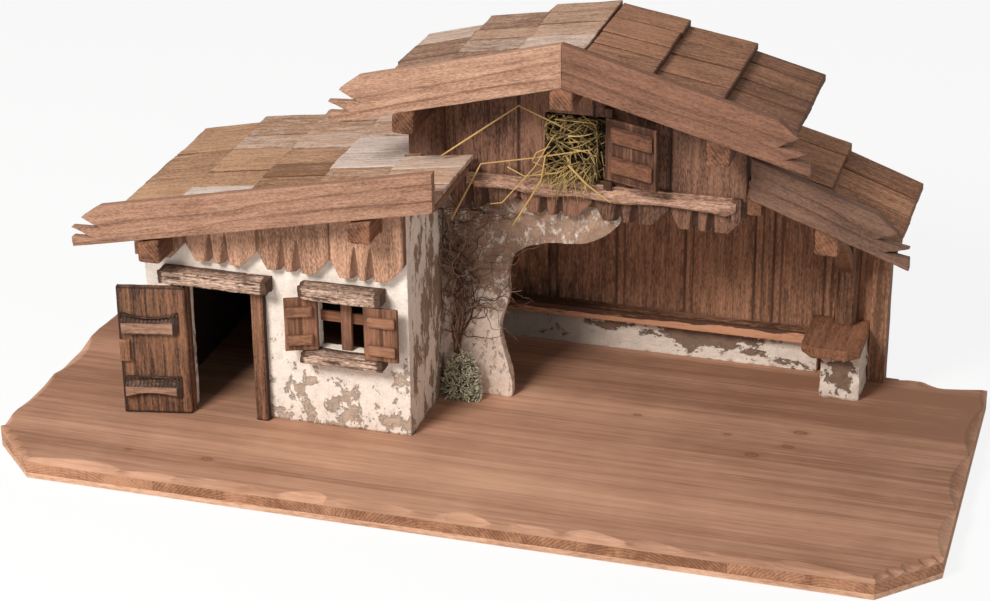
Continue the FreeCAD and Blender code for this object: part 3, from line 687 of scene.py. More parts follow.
def base_layer(node, material, carved):
    low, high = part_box(node)
    centre = (low + high) / 2
    rows = edge_rows(node, carved)
    count = len(rows)
    tall = (high.z - low.z) / MM
    bm = bmesh.new()
    tone = layers(bm)[0]
    rings = [[], [], [], []]
    for p, inward, cut, slope, _ in rows:
        drop = min(cut * slope, tall * 0.9)
        edge = p + inward * cut * MM
        inner = p + inward * (cut + CUT_RIM) * MM
        heights = (low.z, high.z - drop * MM, high.z, high.z)
        for ring, place, z in zip(rings, (p, p, edge, inner), heights):
            ring.append(bm.verts.new((place.x, place.y, z)))
    for share in INNER_RINGS:
        rings.append([bm.verts.new(centre.lerp(v.co, share).to_2d().to_3d() + Vector((0, 0, high.z)))
                      for v in rings[3]])
    for lower, upper in zip(rings[:-1], rings[1:]):
        bridge(bm, lower, upper)
    hub = bm.verts.new((centre.x, centre.y, high.z))
    under = bm.verts.new((centre.x, centre.y, low.z))
    for i in range(count):
        j = (i + 1) % count
        bm.faces.new((rings[-1][i], rings[-1][j], hub))
        bm.faces.new((rings[0][j], rings[0][i], under))
    bmesh.ops.recalc_face_normals(bm, faces=bm.faces)
    paint(bm, 0.5, 0.0)
    if carved:
        for k, v in enumerate(rings[1] + rings[2]):
            cut, bare = rows[k % count][2], rows[k % count][4]
            deep = clamp((cut - 1.0) / 2.0)
            v[tone] = 0.2 + 0.9 * deep * bare + 0.3 * wobble((k % count) * 0.05, 7.0, SEED)
    # painted shade: the top darkens away from its lit place, to both sides and towards the back
    for ring in rings[2:]:
        for v in ring:
            side = abs(v.co.x - LIT_CENTRE_X * MM) / (high.x - low.x)
            back = PAINTED_SHADE_BACK * max(0.0, v.co.y - LIT_CENTRE_Y * MM) / (high.y - low.y)
            v[tone] -= (PAINTED_SHADE_RIGHT if v.co.x > 0 else PAINTED_SHADE_LEFT) * side + back
    return make_object(node + "_worked", bm, material, BODY, (node,), smooth=False)


def stave_rings(bm):
    """Each stave keeps its own middle, around which its growth rings are drawn."""
    across = layers(bm)[2]
    middle = sum(span(bm, "x")) / 2
    for v in bm.verts:
        v[across] = v.co.x - middle


base_layer("base_top_layer", MAT["base_x"], True)
base_layer("base_bottom_layer", MAT["base_pale"], False)
hewn("base_core_staves", "base_core", "y", 0.35, 40.0, 0.0, 9.0, (0.3, 0.7), stave_rings)


# Plaster walls: white outside, with painted shade inside the house

WALL_THICK = 9.0
# How far from the house the painted shade in the bay's corner reaches and over what length it fades, in millimetres
BAY_SHADE = 128.0
BAY_FADE = 62.0
BAY_DARK = 0.6
bay_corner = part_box("arch_wall")[0].x
# Each wall: its plaster and how uneven it is
WALLS = {"house_front_wall": ("plaster", 0.5), "house_left_wall": ("plaster", 0.5),
         "house_right_wall": ("plaster_side", 0.7), "arch_wall": ("plaster_worn", 0.9),
         "low_wall": ("plaster_low", 0.5), "pier": ("plaster_pier", 1.5)}


def shade_room(bm):
    # painted shade: the plaster inside the house takes the shade colour
    tone = layers(bm)[0]
    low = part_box("house_front_wall")[0]
    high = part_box("house_right_wall")[1]
    thick = WALL_THICK * MM
    for v in bm.verts:
        in_x = low.x + thick < v.co.x < high.x - thick
        if in_x and v.co.y > low.y + thick and v.co.y < high.y:
            v[tone] = 0.0


def corner_shade(v):
    """How deep a point lies in the corner between the arch and the back wall, from 0 to 1, which sets the strength of
    the painted shade there.
    """
    return clamp((BAY_SHADE - (v.co.x - bay_corner) / MM) / BAY_FADE)


def shaded_wall(bm):
    shade_room(bm)
    tone = layers(bm)[0]
    for v in bm.verts:
        # painted shade on the low wall in the bay's corner
        v[tone] *= 1 - BAY_DARK * corner_shade(v)


for wall, (mat, uneven) in WALLS.items():
    hewn(wall, mat, None, 1.4, 4.5, uneven, 14.0, (1.0, 1.0), shaded_wall if wall == "low_wall" else shade_room,
         stands=True)


# Toothed cladding: each board's foot is gouged into three teeth

TOOTH = {"count": 3, "left": 8.0, "right": 15.0, "width": 6.0, "height": 30.0, "depth": 4.2, "face": 5, "steep": 1.8,
         "edge": 1.4, "edge_dark": 0.55, "dark": 0.7}


def gouge_teeth(front_y):
    def shape(bm):
        tone = layers(bm)[0]
        low, high = span(bm, "x")
        foot = span(bm, "z")[0]
        if high - low < TOOTH["width"] * 4 * MM:
            return
        start = low + TOOTH["left"] * MM
        step = (high - TOOTH["right"] * MM - start) / TOOTH["count"]
        for v in bm.verts:
            if min(v.co.x - low, high - v.co.x) < TOOTH["edge"] * MM:
                v[tone] -= TOOTH["edge_dark"]
            rise = (v.co.z - foot) / (TOOTH["height"] * MM)
            if rise > 1 or v.co.y > front_y + TOOTH["face"] * MM:
                continue
            for i in range(1, TOOTH["count"]):
                half = TOOTH["width"] * MM * (1 - rise) ** 0.6
                off = (v.co.x - (start + i * step)) / max(half, 0.0001)
                off = abs(off) if off < 0 else off * TOOTH["steep"]
                if off < 1:
                    v.co.y += TOOTH["depth"] * MM * (1 - rise) ** 0.5 * (1 - off * off)
                    # painted shade darkens each gouge
                    v[tone] -= TOOTH["dark"] * (1 - off * off)
    return shape


for clad, mat in (("house_cladding", "clad"), ("gable_cladding", "dark_clad")):
    hewn(clad, mat, "z", 0.7, 3.5, 0.3, 5.0, (0.35, 0.65), gouge_teeth(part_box(clad)[0].y),
         fine=(1.5, board_zone(34.0, 4.0, 4.0)))


# Flat boards of the gable and the back; each back board carries a planed strip along its left edge

STRIP = {"width": 7.0, "line": 0.9, "depth": 1.0, "edge": 1.4, "dark": 0.3}
# Painted shadow in the bay's corner, laid on the back boards through their chalk layer: its strength, and the height
# over which it thins out
BAY_SHADOW_GAIN = 0.75
BAY_SHADOW_HEIGHT = 130


def planed_strip(bm):
    tone, _, painted_shadow = layers(bm)
    low, high = span(bm, "x")
    edge = STRIP["edge"]
    for v in bm.verts:
        across = (v.co.x - low) / MM
        if across < edge or high - v.co.x < edge * MM or abs(across - STRIP["width"]) < STRIP["line"]:
            v[tone] -= STRIP["dark"]
            if v.normal.y < -0.5 and across > edge:
                v.co.y += STRIP["depth"] * MM * 0.5
        # painted shadow: the chalk layer carries the bay corner's shade, thinning out upwards
        v[painted_shadow] = BAY_SHADOW_GAIN * corner_shade(v) * clamp(1.25 - v.co.z / (BAY_SHADOW_HEIGHT * MM), 0.2)


for flat in ("gable_panel", "upper_left_wall"):
    hewn(flat, "dark_clad", "z", 0.5, 8.0, 0.25, 6.0)
hewn("back_wall_boards", "back", "z", 0.9, 5.0, 0.25, 6.0, (0.35, 0.65), planed_strip,
     fine=(1.3, board_zone(0.0, 10.0, 3.0)))
hewn("right_back_panel", "back", "z", 0.8, 4.0, 0.3, 6.0, (0.25, 0.35), edge=0.3, stands=True)


# Trim, posts, beams and other squared timber

CRACK = {"along": 55, "up": 420, "start": 0.15, "dark": 0.7, "depth": 1.6}
# Over what length a trim's right and left ends are dark, and how much
RIGHT_END, RIGHT_DARK = 6, 1.5
LEFT_END, LEFT_DARK = 4, 0.8
POST_SIDE_SHADE = 0.45


def split_face(bm):
    """Rough-hewn trim: dark cracks along the face and a dark end."""
    tone = layers(bm)[0]
    low, high = span(bm, "x")
    front, back = span(bm, "y")
    seed = high * 77
    middle = (back + front) / 2
    bm.normal_update()
    for v in bm.verts:
        crack = max(0.0, wobble(v.co.x * CRACK["along"], seed, v.co.z * CRACK["up"]) - CRACK["start"])
        v[tone] -= CRACK["dark"] * crack
        v.co.y += CRACK["depth"] * MM * crack
        right = max(0.0, 1 - (high - v.co.x) / (RIGHT_END * MM))
        v[tone] -= RIGHT_DARK * right + LEFT_DARK * max(0.0, 1 - (v.co.x - low) / (LEFT_END * MM))
        # painted shade: the top darkens towards the wall behind it
        if v.normal.z > 0.6:
            v[tone] -= 0.04 + 0.5 * max(0.0, (v.co.y - middle) / (back - middle))


def shade_post_side(bm):
    """Painted shade: the right side of a post is darker than its face."""
    tone = layers(bm)[0]
    bm.normal_update()
    for v in bm.verts:
        v[tone] -= POST_SIDE_SHADE * max(0.0, v.normal.x)


FLUTE = {"pitch": 3.8, "face": 1.2, "tip": 12, "slant": 0.8, "sway": 1.6, "chalk": 0.22, "chalk_height": 6}


def fluted_end(front_y):
    """The front end of a beam is cut in slanting flutes."""
    def shape(bm):
        tone, _, chalk = layers(bm)
        foot = min(v.co.z for v in bm.verts if v.co.y < front_y + FLUTE["tip"] * MM)
        for v in bm.verts:
            if v.co.y < front_y + FLUTE["face"] * MM:
                sway = wobble(v.co.x * 60, front_y * 90, v.co.z * 60)
                turn = (v.co.x + v.co.z * FLUTE["slant"]) / (FLUTE["pitch"] * MM) * math.pi
                flute = abs(math.sin(turn + sway * FLUTE["sway"]))
                v.co.y += (0.5 + 0.9 * flute) * (0.7 + 0.6 * sway) * MM
                v[tone] += 0.12 - 0.22 * flute + 0.4 * sway
                v[chalk] = FLUTE["chalk"] * max(0.0, 1 - (v.co.z - foot) / (FLUTE["chalk_height"] * MM))
    return shape


PLANK = {"face": 3.5, "planed_over": 60, "shade": 0.3, "pale": 0.45, "chalk": 0.25, "chalk_share": 0.2}


def chipped_front(front_y):
    """A plank's front edge: hacked and dark along its upper part, pale and planed below."""
    def shape(bm):
        tone, _, chalk = layers(bm)
        foot, top = span(bm, "z")
        tall = top - foot
        middle = sum(span(bm, "x")) / 2
        for v in bm.verts:
            # painted shade on the plank in the bay's corner
            v[tone] -= PLANK["shade"] * corner_shade(v)
            if v.co.y < front_y + PLANK["face"] * MM:
                share = (v.co.z - foot) / tall
                planed = clamp((v.co.x - middle) / (PLANK["planed_over"] * MM))
                line = 0.5 + 0.3 * wobble(v.co.x * 45, 1.0, SEED) + 0.3 * planed
                hack = max(0.0, wobble(v.co.x * 420, v.co.z * 40, SEED))
                if share > line:
                    v.co.y += (0.6 + 1.2 * hack) * MM
                    v[tone] -= 0.2 + 0.5 * hack
                else:
                    v[tone] += PLANK["pale"]
                    v[chalk] = PLANK["chalk"] * max(0.0, 1 - (line - share) / PLANK["chalk_share"])
    return shape


for trim in ("door_lintel", "window_lintel", "window_sill"):
    hewn(trim, "trim", "x", 2.2, 1.6, 1.1, 6.0, (0.44, 0.5), split_face, -0.6)
hewn("door_post_left", "burnt", "z", 0.9, 3.0, 0.4, 6.0, (0.3, 0.4), edge=0.3, stands=True)
hewn("door_post_right", "burnt", "z", 2.0, 1.6, 0.6, 7.0, (0.4, 0.44), shade_post_side, -0.45, stands=True)
hewn("window_mullion", "hatch_z", "z", 0.5, 3.0, 0.2, 6.0)
hewn("window_transom", "hatch_x", "x", 0.5, 3.0, 0.2, 6.0)
for beam in ("house_purlin_low", "house_purlin_high", "left_purlin", "ridge_purlin", "right_purlin", "lower_purlin"):
    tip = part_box(beam)[0].y
    hewn(beam, "beam", "y", 2.4, 3.6, 0.6, 9.0, (0.35, 0.55), fluted_end(tip), 0.15, (0.9, front_zone(4.0)))
hewn("lower_roof_ledger", "beam", "y", 0.8, 5.0, 0.3, 7.0)
hewn("low_wall_plank", "plank", "x", 0.8, 1.2, 0.3, 6.0, (0.4, 0.42), chipped_front(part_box("low_wall_plank")[0].y))
hewn("pier_cap", "cap", "y", 1.2, 3.0, 0.4, 8.0, edge=-0.2)
hewn("corner_post", "burnt", "z", 0.9, 2.4, 0.5, 7.0, edge=0.25, stands=True)
hewn("knee_brace", "burnt", "z", 0.9, 3.0, 0.4, 7.0, edge=0.25)
for board in ("house_roof_board", "main_left_roof_board", "main_right_roof_board", "lower_roof_board"):
    hewn(board, "roof_board", "x", 0.5, 12.0, 0.2, 8.0)
hewn("pivot_pins", "steel", "z", 0.15, 6.0, 0.0, 6.0)
hewn("hatch_pivot_blocks", "hatch_z", "z", 0.7, 2.5, 0.2, 5.0, (0.05, 0.15))


# Leaves of the door, the shutters and the hatch

DOOR_STAVE = 12.5
RIB = {"pitch": 3.4, "depth": 1.3, "lean": 9.0, "scoop": 5.0, "slant": 0.92, "end_dark": 0.8, "edge_dark": 0.35}
# The lower door ledge lies at least this far below the middle of the two
LEDGE_APART = 10
LEDGE_SHARE = 0.74
JOINT = {"edge": 1.0, "edge_dark": 0.5, "width": 0.8, "lap": 0.8, "dark": 1.2}
RIGHT_END_SHADE = 0.9
CHAMFER_DARK = 0.18


def staved(bm):
    """A leaf is brushed so that darker bands run down it like narrow staves."""
    tone = layers(bm)[0]
    low = span(bm, "x")[0]
    for v in bm.verts:
        run = (v.co.x - low) / (DOOR_STAVE * MM)
        joint = max(0.0, 1 - abs(run - round(run)) * 14)
        v[tone] += 0.35 * wobble(run * 2.0, v.co.z * 5, SEED) - 0.1 - 0.2 * joint


def door_ledge(bm):
    """A door ledge: ribbed gouges along its upper half, one edge hollowed, the right end cut at a slant."""
    tone = layers(bm)[0]
    (x0, x1), (z0, z1) = span(bm, "x"), span(bm, "z")
    back = span(bm, "y")[1]
    arched_foot = z0 < ledge_middle - LEDGE_APART * MM
    bm.normal_update()
    for v in bm.verts:
        u = (v.co.x - x0) / (x1 - x0)
        w = (v.co.z - z0) / (z1 - z0)
        hollow = 1 - (2 * u - 1) ** 2
        if v.normal.y < -0.4 and w > 0.5:
            rib = 0.5 + 0.5 * math.sin(v.co.x / (RIB["pitch"] * MM) * math.tau)
            v.co.y += (RIB["depth"] * rib + (w - 0.5) * RIB["lean"]) * MM
            v[tone] -= 0.28 + 0.14 * rib
        elif v.normal.y < -0.4:
            v[tone] += 0.12
        slant = max(0.0, (u - RIB["slant"]) / (1 - RIB["slant"]))
        if slant > 0 and v.normal.y < 0.3:
            v.co.y += slant * 0.6 * max(0.0, back - v.co.y)
            v[tone] -= RIB["end_dark"]
        if w > 0.94 or w < 0.06 or u < 0.02:
            v[tone] -= RIB["edge_dark"]
        if arched_foot:
            v.co.z += hollow * RIB["scoop"] * MM * max(0.0, 1 - 2 * w)
        else:
            v.co.z -= hollow * RIB["scoop"] * MM * max(0.0, 2 * w - 1)


def dark_ends(bm):
    """Painted shade on the right end of a short batten; its chamfers take the stain darker."""
    tone = layers(bm)[0]
    bm.normal_update()
    for v in bm.verts:
        if v.normal.x > 0.5:
            v[tone] -= RIGHT_END_SHADE
        elif abs(v.normal.z) > 0.4:
            v[tone] -= CHAMFER_DARK


def slim_ledge(bm):
    """A hatch ledge is planed narrower than its blank, and its right end is darkened as painted shade."""
    middle = sum(span(bm, "z")) / 2
    for v in bm.verts:
        v.co.z = middle + (v.co.z - middle) * LEDGE_SHARE
    dark_ends(bm)


def close_joint(node):
    """The two boards of a shutter have dark edges and meet in a dark joint."""
    low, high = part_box(node)
    joint = ((low + high) / 2).to_2d()

    def shape(bm):
        tone = layers(bm)[0]
        x0, x1 = span(bm, "x")
        for v in bm.verts:
            if min(v.co.x - x0, x1 - v.co.x) < JOINT["edge"] * MM:
                v[tone] -= JOINT["edge_dark"]
        centre = sum((v.co.to_2d() for v in bm.verts), Vector((0, 0))) / len(bm.verts)
        toward = (joint - centre).normalized()
        reach = max((v.co.to_2d() - centre).dot(toward) for v in bm.verts)
        for v in bm.verts:
            if (v.co.to_2d() - centre).dot(toward) > reach - JOINT["width"] * MM:
                v.co += (toward * JOINT["lap"] * MM).to_3d()
                v[tone] -= JOINT["dark"]
    return shape


hewn("door_leaf", "burnt", "z", 1.0, 1.8, 0.3, 6.0, (0.42, 0.46), staved, -0.5)
low_ledge, high_ledge = (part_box("door_ledges")[k].z for k in (0, 1))
ledge_middle = (low_ledge + high_ledge) / 2
hewn("door_ledges", "burnt_x", "x", 0.7, 1.2, 0.2, 6.0, (0.46, 0.5), door_ledge)
hewn("door_handle", "burnt", "z", 1.0, 1.8, 0.3, 5.0, (0.4, 0.5), edge=0.2)
for side in ("left_shutter", "right_shutter"):
    hewn(side + "_boards", "red_z", "z", 0.5, 2.4, 0.25, 5.0, (0.35, 0.55), close_joint(side + "_boards"),
         fine=(0.8, board_zone(0.0, 2.5, 2.5)))
    hewn(side + "_battens", "red_x", "x", 0.8, 1.6, 0.25, 5.0, (0.4, 0.6), dark_ends, -0.15)
hewn("hatch_leaf", "hatch_z", "z", 0.8, 2.4, 0.35, 6.0, (0.3, 0.35), staved, 0.25)
hewn("hatch_ledges", "hatch_x", "x", 3.8, 1.8, 0.25, 6.0, (0.3, 0.55), slim_ledge, segments=1)


# Bargeboards: stepped bands run along the face; each line is given by its share of the length and of the height

BAND_STEP = 1.9
BAND_SOFT = 0.05
BAND_FADE = 0.26
BAND_FACE = 3
END_REACH = 1.5
BAND_LINES = {
    "house_bargeboard": (((0.0, 0.50), (0.2, 0.57), (0.44, 0.56), (0.54, 0.67), (0.75, 0.74), (1.0, 0.77)),
                         ((0.0, 0.10), (0.3, 0.16), (0.48, 0.33), (0.62, 0.40), (1.0, 0.35))),
    "main_left_bargeboard": (((0.0, 0.45), (0.12, 0.52), (0.5, 0.55), (1.0, 0.65)),
                             ((0.0, 0.15), (0.4, 0.24), (0.7, 0.30), (1.0, 0.27))),
    "main_right_bargeboard": (((0.0, 0.62), (0.3, 0.66), (0.5, 0.58), (0.7, 0.66), (1.0, 0.70)),
                              ((0.0, 0.30), (0.35, 0.45), (0.6, 0.36), (1.0, 0.42))),
    "lower_bargeboard": (((0.0, 0.60), (0.3, 0.55), (0.6, 0.68), (1.0, 0.72)),
                         ((0.0, 0.30), (0.4, 0.36), (0.7, 0.42), (1.0, 0.36))),
}


def line_at(line, t):
    for (t0, v0), (t1, v1) in zip(line[:-1], line[1:]):
        if t <= t1:
            share = (t - t0) / (t1 - t0)
            share = share * share * (3 - 2 * share)
            return v0 + (v1 - v0) * share
    return line[-1][1]


def carve_bands(node, inner_is_high):
    low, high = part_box(node)
    front = low.y
    inner, outer = (high.x, low.x) if inner_is_high else (low.x, high.x)

    def shape(bm):
        tone = layers(bm)[0]
        ends = [v.co.z for v in bm.verts if abs(v.co.x - inner) < END_REACH * MM]
        tips = [v.co.z for v in bm.verts if abs(v.co.x - outer) < END_REACH * MM]
        foot_in, foot_out, top_in = min(ends), min(tips), max(ends)
        tall = top_in - foot_in
        for v in bm.verts:
            if v.co.y > front + BAND_FACE * MM:
                continue
            t = clamp((v.co.x - outer) / (inner - outer))
            share = (v.co.z - (foot_out + (foot_in - foot_out) * t)) / tall
            cut = 0.0
            for line in BAND_LINES[node]:
                under = line_at(line, t) + 0.012 * wobble(v.co.x * 45, tall * 50, SEED) - share
                if under > 0:
                    cut = min(under / BAND_SOFT, 1.0) * max(0.0, 1.0 - under / BAND_FADE)
            fade = 0.62 + 0.55 * wobble(v.co.x * 16, share * 2.0, SEED + 3)
            v.co.y += cut * fade * BAND_STEP * MM
            # painted shade darkens each band just below its step
            v[tone] += 0.1 - 0.38 * cut * fade
    return shape


for barge, mat, inner_is_high in (("house_bargeboard", "barge_house", True),
                                  ("main_left_bargeboard", "barge_left", True),
                                  ("main_right_bargeboard", "barge_right", False),
                                  ("lower_bargeboard", "barge_lower", False)):
    hewn(barge, mat, "x", 0.9, 3.0, 0.3, 8.0, (0.45, 0.5), carve_bands(barge, inner_is_high), 0.0,
         (1.5, front_zone(1.5)))


# Shingles: each one is a split plate with ridges along its grain, its own tone and some chalky weathering

SHINGLE_ALONG = 14
SHINGLE_ACROSS = 18
SHINGLE_GAP = 0.5
SHINGLE_RIM = 0.016
SHINGLE_SKEW = 1.2
SHINGLE_PUSH = 1.4
SHINGLE_LIFT = (-0.5, 0.3)
EDGE_DROP = 0.45
SIDE_SHADE = 0.45
RIM_SHADE = 0.35
# Courses lie at least this far apart
COURSE_STEP = 6.0
# Tone and chalk of a shingle that has no look of its own
PLATE_TONE = (0.25, 0.75)
PLATE_CHALK = (0.0, 0.12)
# Tone and chalk of single shingles: a line for each course from the low x side, each from the front
HOUSE_LOOK = (
    ((0.5, 0.0), (0.62, 0.0), (0.5, 0.0), (0.58, 0.0)),
    ((0.5, 0.0), (0.75, 0.8), (0.5, 0.0), (0.6, 0.0), (0.6, 0.38), (0.5, 0.28)),
    ((0.5, 0.0), (0.42, 0.0), (0.26, 0.0), (0.52, 0.0), (0.66, 0.42), (0.48, 0.3), (0.5, 0.34)),
    ((0.55, 0.2), (0.5, 0.24), (0.95, 0.85), (0.95, 0.95), (0.6, 0.34), (0.8, 0.5)),
    ((0.75, 0.4), (0.7, 0.36), (0.9, 0.5), (0.5, 0.2)),
)
LEFT_LOOK = (
    ((0.38, 0.1), (0.42, 0.1), (0.36, 0.12), (0.7, 0.46)),
    ((0.38, 0.1), (0.36, 0.05), (0.48, 0.34), (0.6, 0.0), (0.42, 0.12)),
    ((0.45, 0.1), (0.5, 0.22), (0.7, 0.5), (0.6, 0.2), (0.52, 0.05), (0.55, 0.05)),
)
RIGHT_LOOK = (
    ((0.6, 0.1), (0.55, 0.05), (0.62, 0.1), (0.66, 0.1), (0.58, 0.05)),
    ((0.5, 0.05), (0.42, 0.0), (0.55, 0.05), (0.46, 0.0), (0.5, 0.0)),
    ((0.34, 0.0), (0.4, 0.0), (0.32, 0.0), (0.42, 0.0), (0.36, 0.0)),
)


def rim_share(step, count):
    """Even steps from 0 to 1, but the first and the last are narrow, for a crisp edge."""
    if step in (0, count):
        return step / count
    return SHINGLE_RIM + (1 - 2 * SHINGLE_RIM) * (step - 1) / (count - 2)


def shingle(corner, size_x, size_y, top_at, thick, rng, tone, chalk, lift, butt, ragged):
    """A split plate; top_at gives the height of its upper face, butt the end that is ragged, and how much."""
    bm = bmesh.new()
    shade = layers(bm)[0]
    seed = rng.random() * 50
    skew = rng.uniform(-SHINGLE_SKEW, SHINGLE_SKEW) * MM
    push = rng.uniform(-SHINGLE_PUSH, SHINGLE_PUSH) * MM
    grid = []
    for i in range(SHINGLE_ALONG + 1):
        row = []
        for j in range(SHINGLE_ACROSS + 1):
            u = rim_share(i, SHINGLE_ALONG)
            w = rim_share(j, SHINGLE_ACROSS)
            x = corner[0] + size_x * u
            y = corner[1] + SHINGLE_GAP * MM + (size_y - 2 * SHINGLE_GAP * MM) * w
            if i == butt:
                tear = wobble(y * 240, i, seed) * 0.7 + wobble(y * 40, i, seed) * 0.9
                x += ragged * (tear * MM + skew * (w * 2 - 1) + push)
            ridge = wobble(x * 18, y * 330, seed) * 0.4 + wobble(x * 60, y * 420, seed) * 0.25
            warp = wobble(u * 1.3, w * 1.3, seed + 7) * 0.6
            at_edge = min(j, SHINGLE_ACROSS - j, i, SHINGLE_ALONG - i) == 0
            z = top_at(x) + (ridge + warp + (-EDGE_DROP if at_edge else 0.0) + lift) * MM
            row.append(bm.verts.new((x, y, z)))
        grid.append(row)
    for i in range(SHINGLE_ALONG):
        for j in range(SHINGLE_ACROSS):
            bm.faces.new((grid[i][j], grid[i + 1][j], grid[i + 1][j + 1], grid[i][j + 1]))
    rim = [grid[i][0] for i in range(SHINGLE_ALONG)]
    rim += [grid[SHINGLE_ALONG][j] for j in range(SHINGLE_ACROSS)]
    rim += [grid[i][SHINGLE_ACROSS] for i in range(SHINGLE_ALONG, 0, -1)]
    rim += [grid[0][j] for j in range(SHINGLE_ACROSS, 0, -1)]
    brink = [bm.verts.new(v.co) for v in rim]
    under = [bm.verts.new((v.co.x, v.co.y, top_at(v.co.x) - thick)) for v in rim]
    bridge(bm, brink, under)
    bm.faces.new(under)
    bmesh.ops.recalc_face_normals(bm, faces=bm.faces)
    paint(bm, tone, rng.random() * SEED_REACH, chalk)
    for v in brink + under:
        v[shade] -= SIDE_SHADE
    for v in rim:
        v[shade] -= RIM_SHADE
    return bm


def shingle_cells(node):
    """The courses of a slope, each a list of its plates: x and y ends, height at both x ends and thickness."""
    cells = []
    for part in islands(node):
        (x0, x1), (y0, y1) = span(part, "x"), span(part, "y")
        at0 = [v.co.z for v in part.verts if v.co.x < x0 + 0.1 * MM]
        at1 = [v.co.z for v in part.verts if v.co.x > x1 - 0.1 * MM]
        cells.append((x0, x1, y0, y1, max(at0), max(at1), max(at0) - min(at0)))
        part.free()
    courses = []
    for cell in sorted(cells):
        if not courses or cell[0] > courses[-1][0][0] + COURSE_STEP * MM:
            courses.append([])
        courses[-1].append(cell)
    return [sorted(course, key=lambda cell: cell[2]) for course in courses]


def shingle_field(node, material, name, look=(), ragged=1.0):
    rng = random.Random(SEED + len(node))
    plates = []
    for c, course in enumerate(shingle_cells(node)):
        for r, (x0, x1, y0, y1, z0, z1, thick) in enumerate(course):
            def top_at(x, x0=x0, x1=x1, z0=z0, z1=z1):
                return z0 + (z1 - z0) * (x - x0) / (x1 - x0)

            chance = (rng.uniform(*PLATE_TONE), rng.uniform(*PLATE_CHALK))
            own = look[c] if c < len(look) else ()
            tone, chalk = own[r] if r < len(own) else chance
            lift = rng.uniform(*SHINGLE_LIFT)
            butt = 0 if z1 > z0 else SHINGLE_ALONG
            plates.append(shingle((x0, y0), x1 - x0, y1 - y0, top_at, thick, rng, tone, chalk, lift, butt, ragged))
    return make_object(name, merge(plates), MAT[material], BODY, (node,))


shingle_field("house_shingles", "shingle_house", "house_split_shingles", HOUSE_LOOK)
shingle_field("main_left_shingles", "shingle_left", "left_split_shingles", LEFT_LOOK)
shingle_field("main_right_shingles", "shingle_right", "right_split_shingles", RIGHT_LOOK, 0.3)
shingle_field("lower_shingles", "shingle_lower", "lower_split_shingles", ragged=0.5)


# Cornice: a waney-edged beam, its face and both edges in slow waves, with a board behind it and a block at its end

CORNICE_STATIONS = 150
CORNICE_FACE = 9
CORNICE_EDGE = 2.6
# Where the face is hollowed along the length, how widely and how deep
WAIST, WAIST_WIDTH, WAIST_DEPTH = 0.66, 0.17, 1.6
# The right end is cut up from below from this share of the length
TAIL, TAIL_LENGTH, TAIL_RISE = 0.96, 0.04, 5.0
# How far the lower and the upper edge lie inside the beam's box, in millimetres, by share of the length
CORNICE_FOOT = ((0.0, 3.6), (0.14, 4.2), (0.27, 0.6), (0.4, 4.4), (0.56, 0.8), (0.72, 3.4), (0.87, 2.4), (1.0, 0.0))
CORNICE_TOP = ((0.0, 1.6), (0.14, 2.6), (0.27, 1.2), (0.42, 4.2), (0.56, 0.9), (0.74, 3.4), (0.88, 1.8), (1.0, 0.6))
FOOT_SHADE = 0.2
TOP_SHADE = 0.45


def cornice():
    low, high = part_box("cornice_beam")
    bm = bmesh.new()
    tone = layers(bm)[0]
    rings = []
    shades = []
    for i in range(CORNICE_STATIONS + 1):
        t = i / CORNICE_STATIONS
        x = low.x + (high.x - low.x) * t
        wave = wobble(t * 5.3, 1.2, SEED)
        other = wobble(t * 7.1, 6.6, SEED)
        waist = math.exp(-((t - WAIST) / WAIST_WIDTH) ** 2)
        foot = low.z + max(0.0, line_at(CORNICE_FOOT, t) + 0.7 * wave) * MM
        top = high.z - max(0.0, line_at(CORNICE_TOP, t) + 0.7 * other) * MM
        front = low.y + (0.9 + 0.9 * wave + WAIST_DEPTH * waist) * MM
        if t > TAIL:
            foot += (t - TAIL) / TAIL_LENGTH * TAIL_RISE * MM
        section = [(high.y, foot + 1 * MM)]
        shades.append(FOOT_SHADE)
        for k in range(CORNICE_FACE + 1):
            w = k / CORNICE_FACE
            belly = 1 - (2 * w - 1) ** 4
            pit = wobble(x * 210, w * 5, SEED) * 0.8 + wobble(x * 60, w * 3, 3.0) * 0.9
            deep = CORNICE_EDGE * (1 - belly) + max(-0.6, pit) * belly
            section.append((front + deep * MM, foot + (top - foot) * w))
            shades.append(0.36 + 0.22 * w - 0.4 * max(0.0, pit))
        section.append((high.y, top))
        shades.append(TOP_SHADE)
        rings.append([bm.verts.new((x, y, z)) for y, z in section])
    for a, b in zip(rings[:-1], rings[1:]):
        for k in range(len(a)):
            n = (k + 1) % len(a)
            bm.faces.new((a[k], b[k], b[n], a[n]))
    bm.faces.new(rings[0])
    bm.faces.new(list(reversed(rings[-1])))
    bmesh.ops.recalc_face_normals(bm, faces=bm.faces)
    paint(bm, 0.6, 0.0)
    for v, shade in zip((v for ring in rings for v in ring), shades):
        v[tone] = shade
    return make_object("cornice_waney_beam", bm, MAT["cornice"], BODY, ("cornice_beam",))


def plain_board(name, low, high, material, rough, wave=0.0):
    """A small sawn board between two corners, in metres, with worn edges and a wavy top."""
    bm = new_mesh()
    bmesh.ops.create_cube(bm, size=1.0)
    middle = (low + high) / 2
    for v in bm.verts:
        v.co = Vector(tuple(middle[k] + v.co[k] * (high[k] - low[k]) for k in range(3)))
    soften(bm, 0.6 * MM)
    refine(bm, 2.0 * MM)
    paint(bm, 0.35, 3.0)
    for v in bm.verts:
        if v.co.z > middle.z:
            v.co.z -= wave * MM * (0.5 + 0.5 * wobble(v.co.x * 160, 2.0, SEED))
    roughen(bm, rough * MM, 5 * MM, STRETCH["x"], 1.0)
    return make_object(name, bm, MAT[material], BODY)


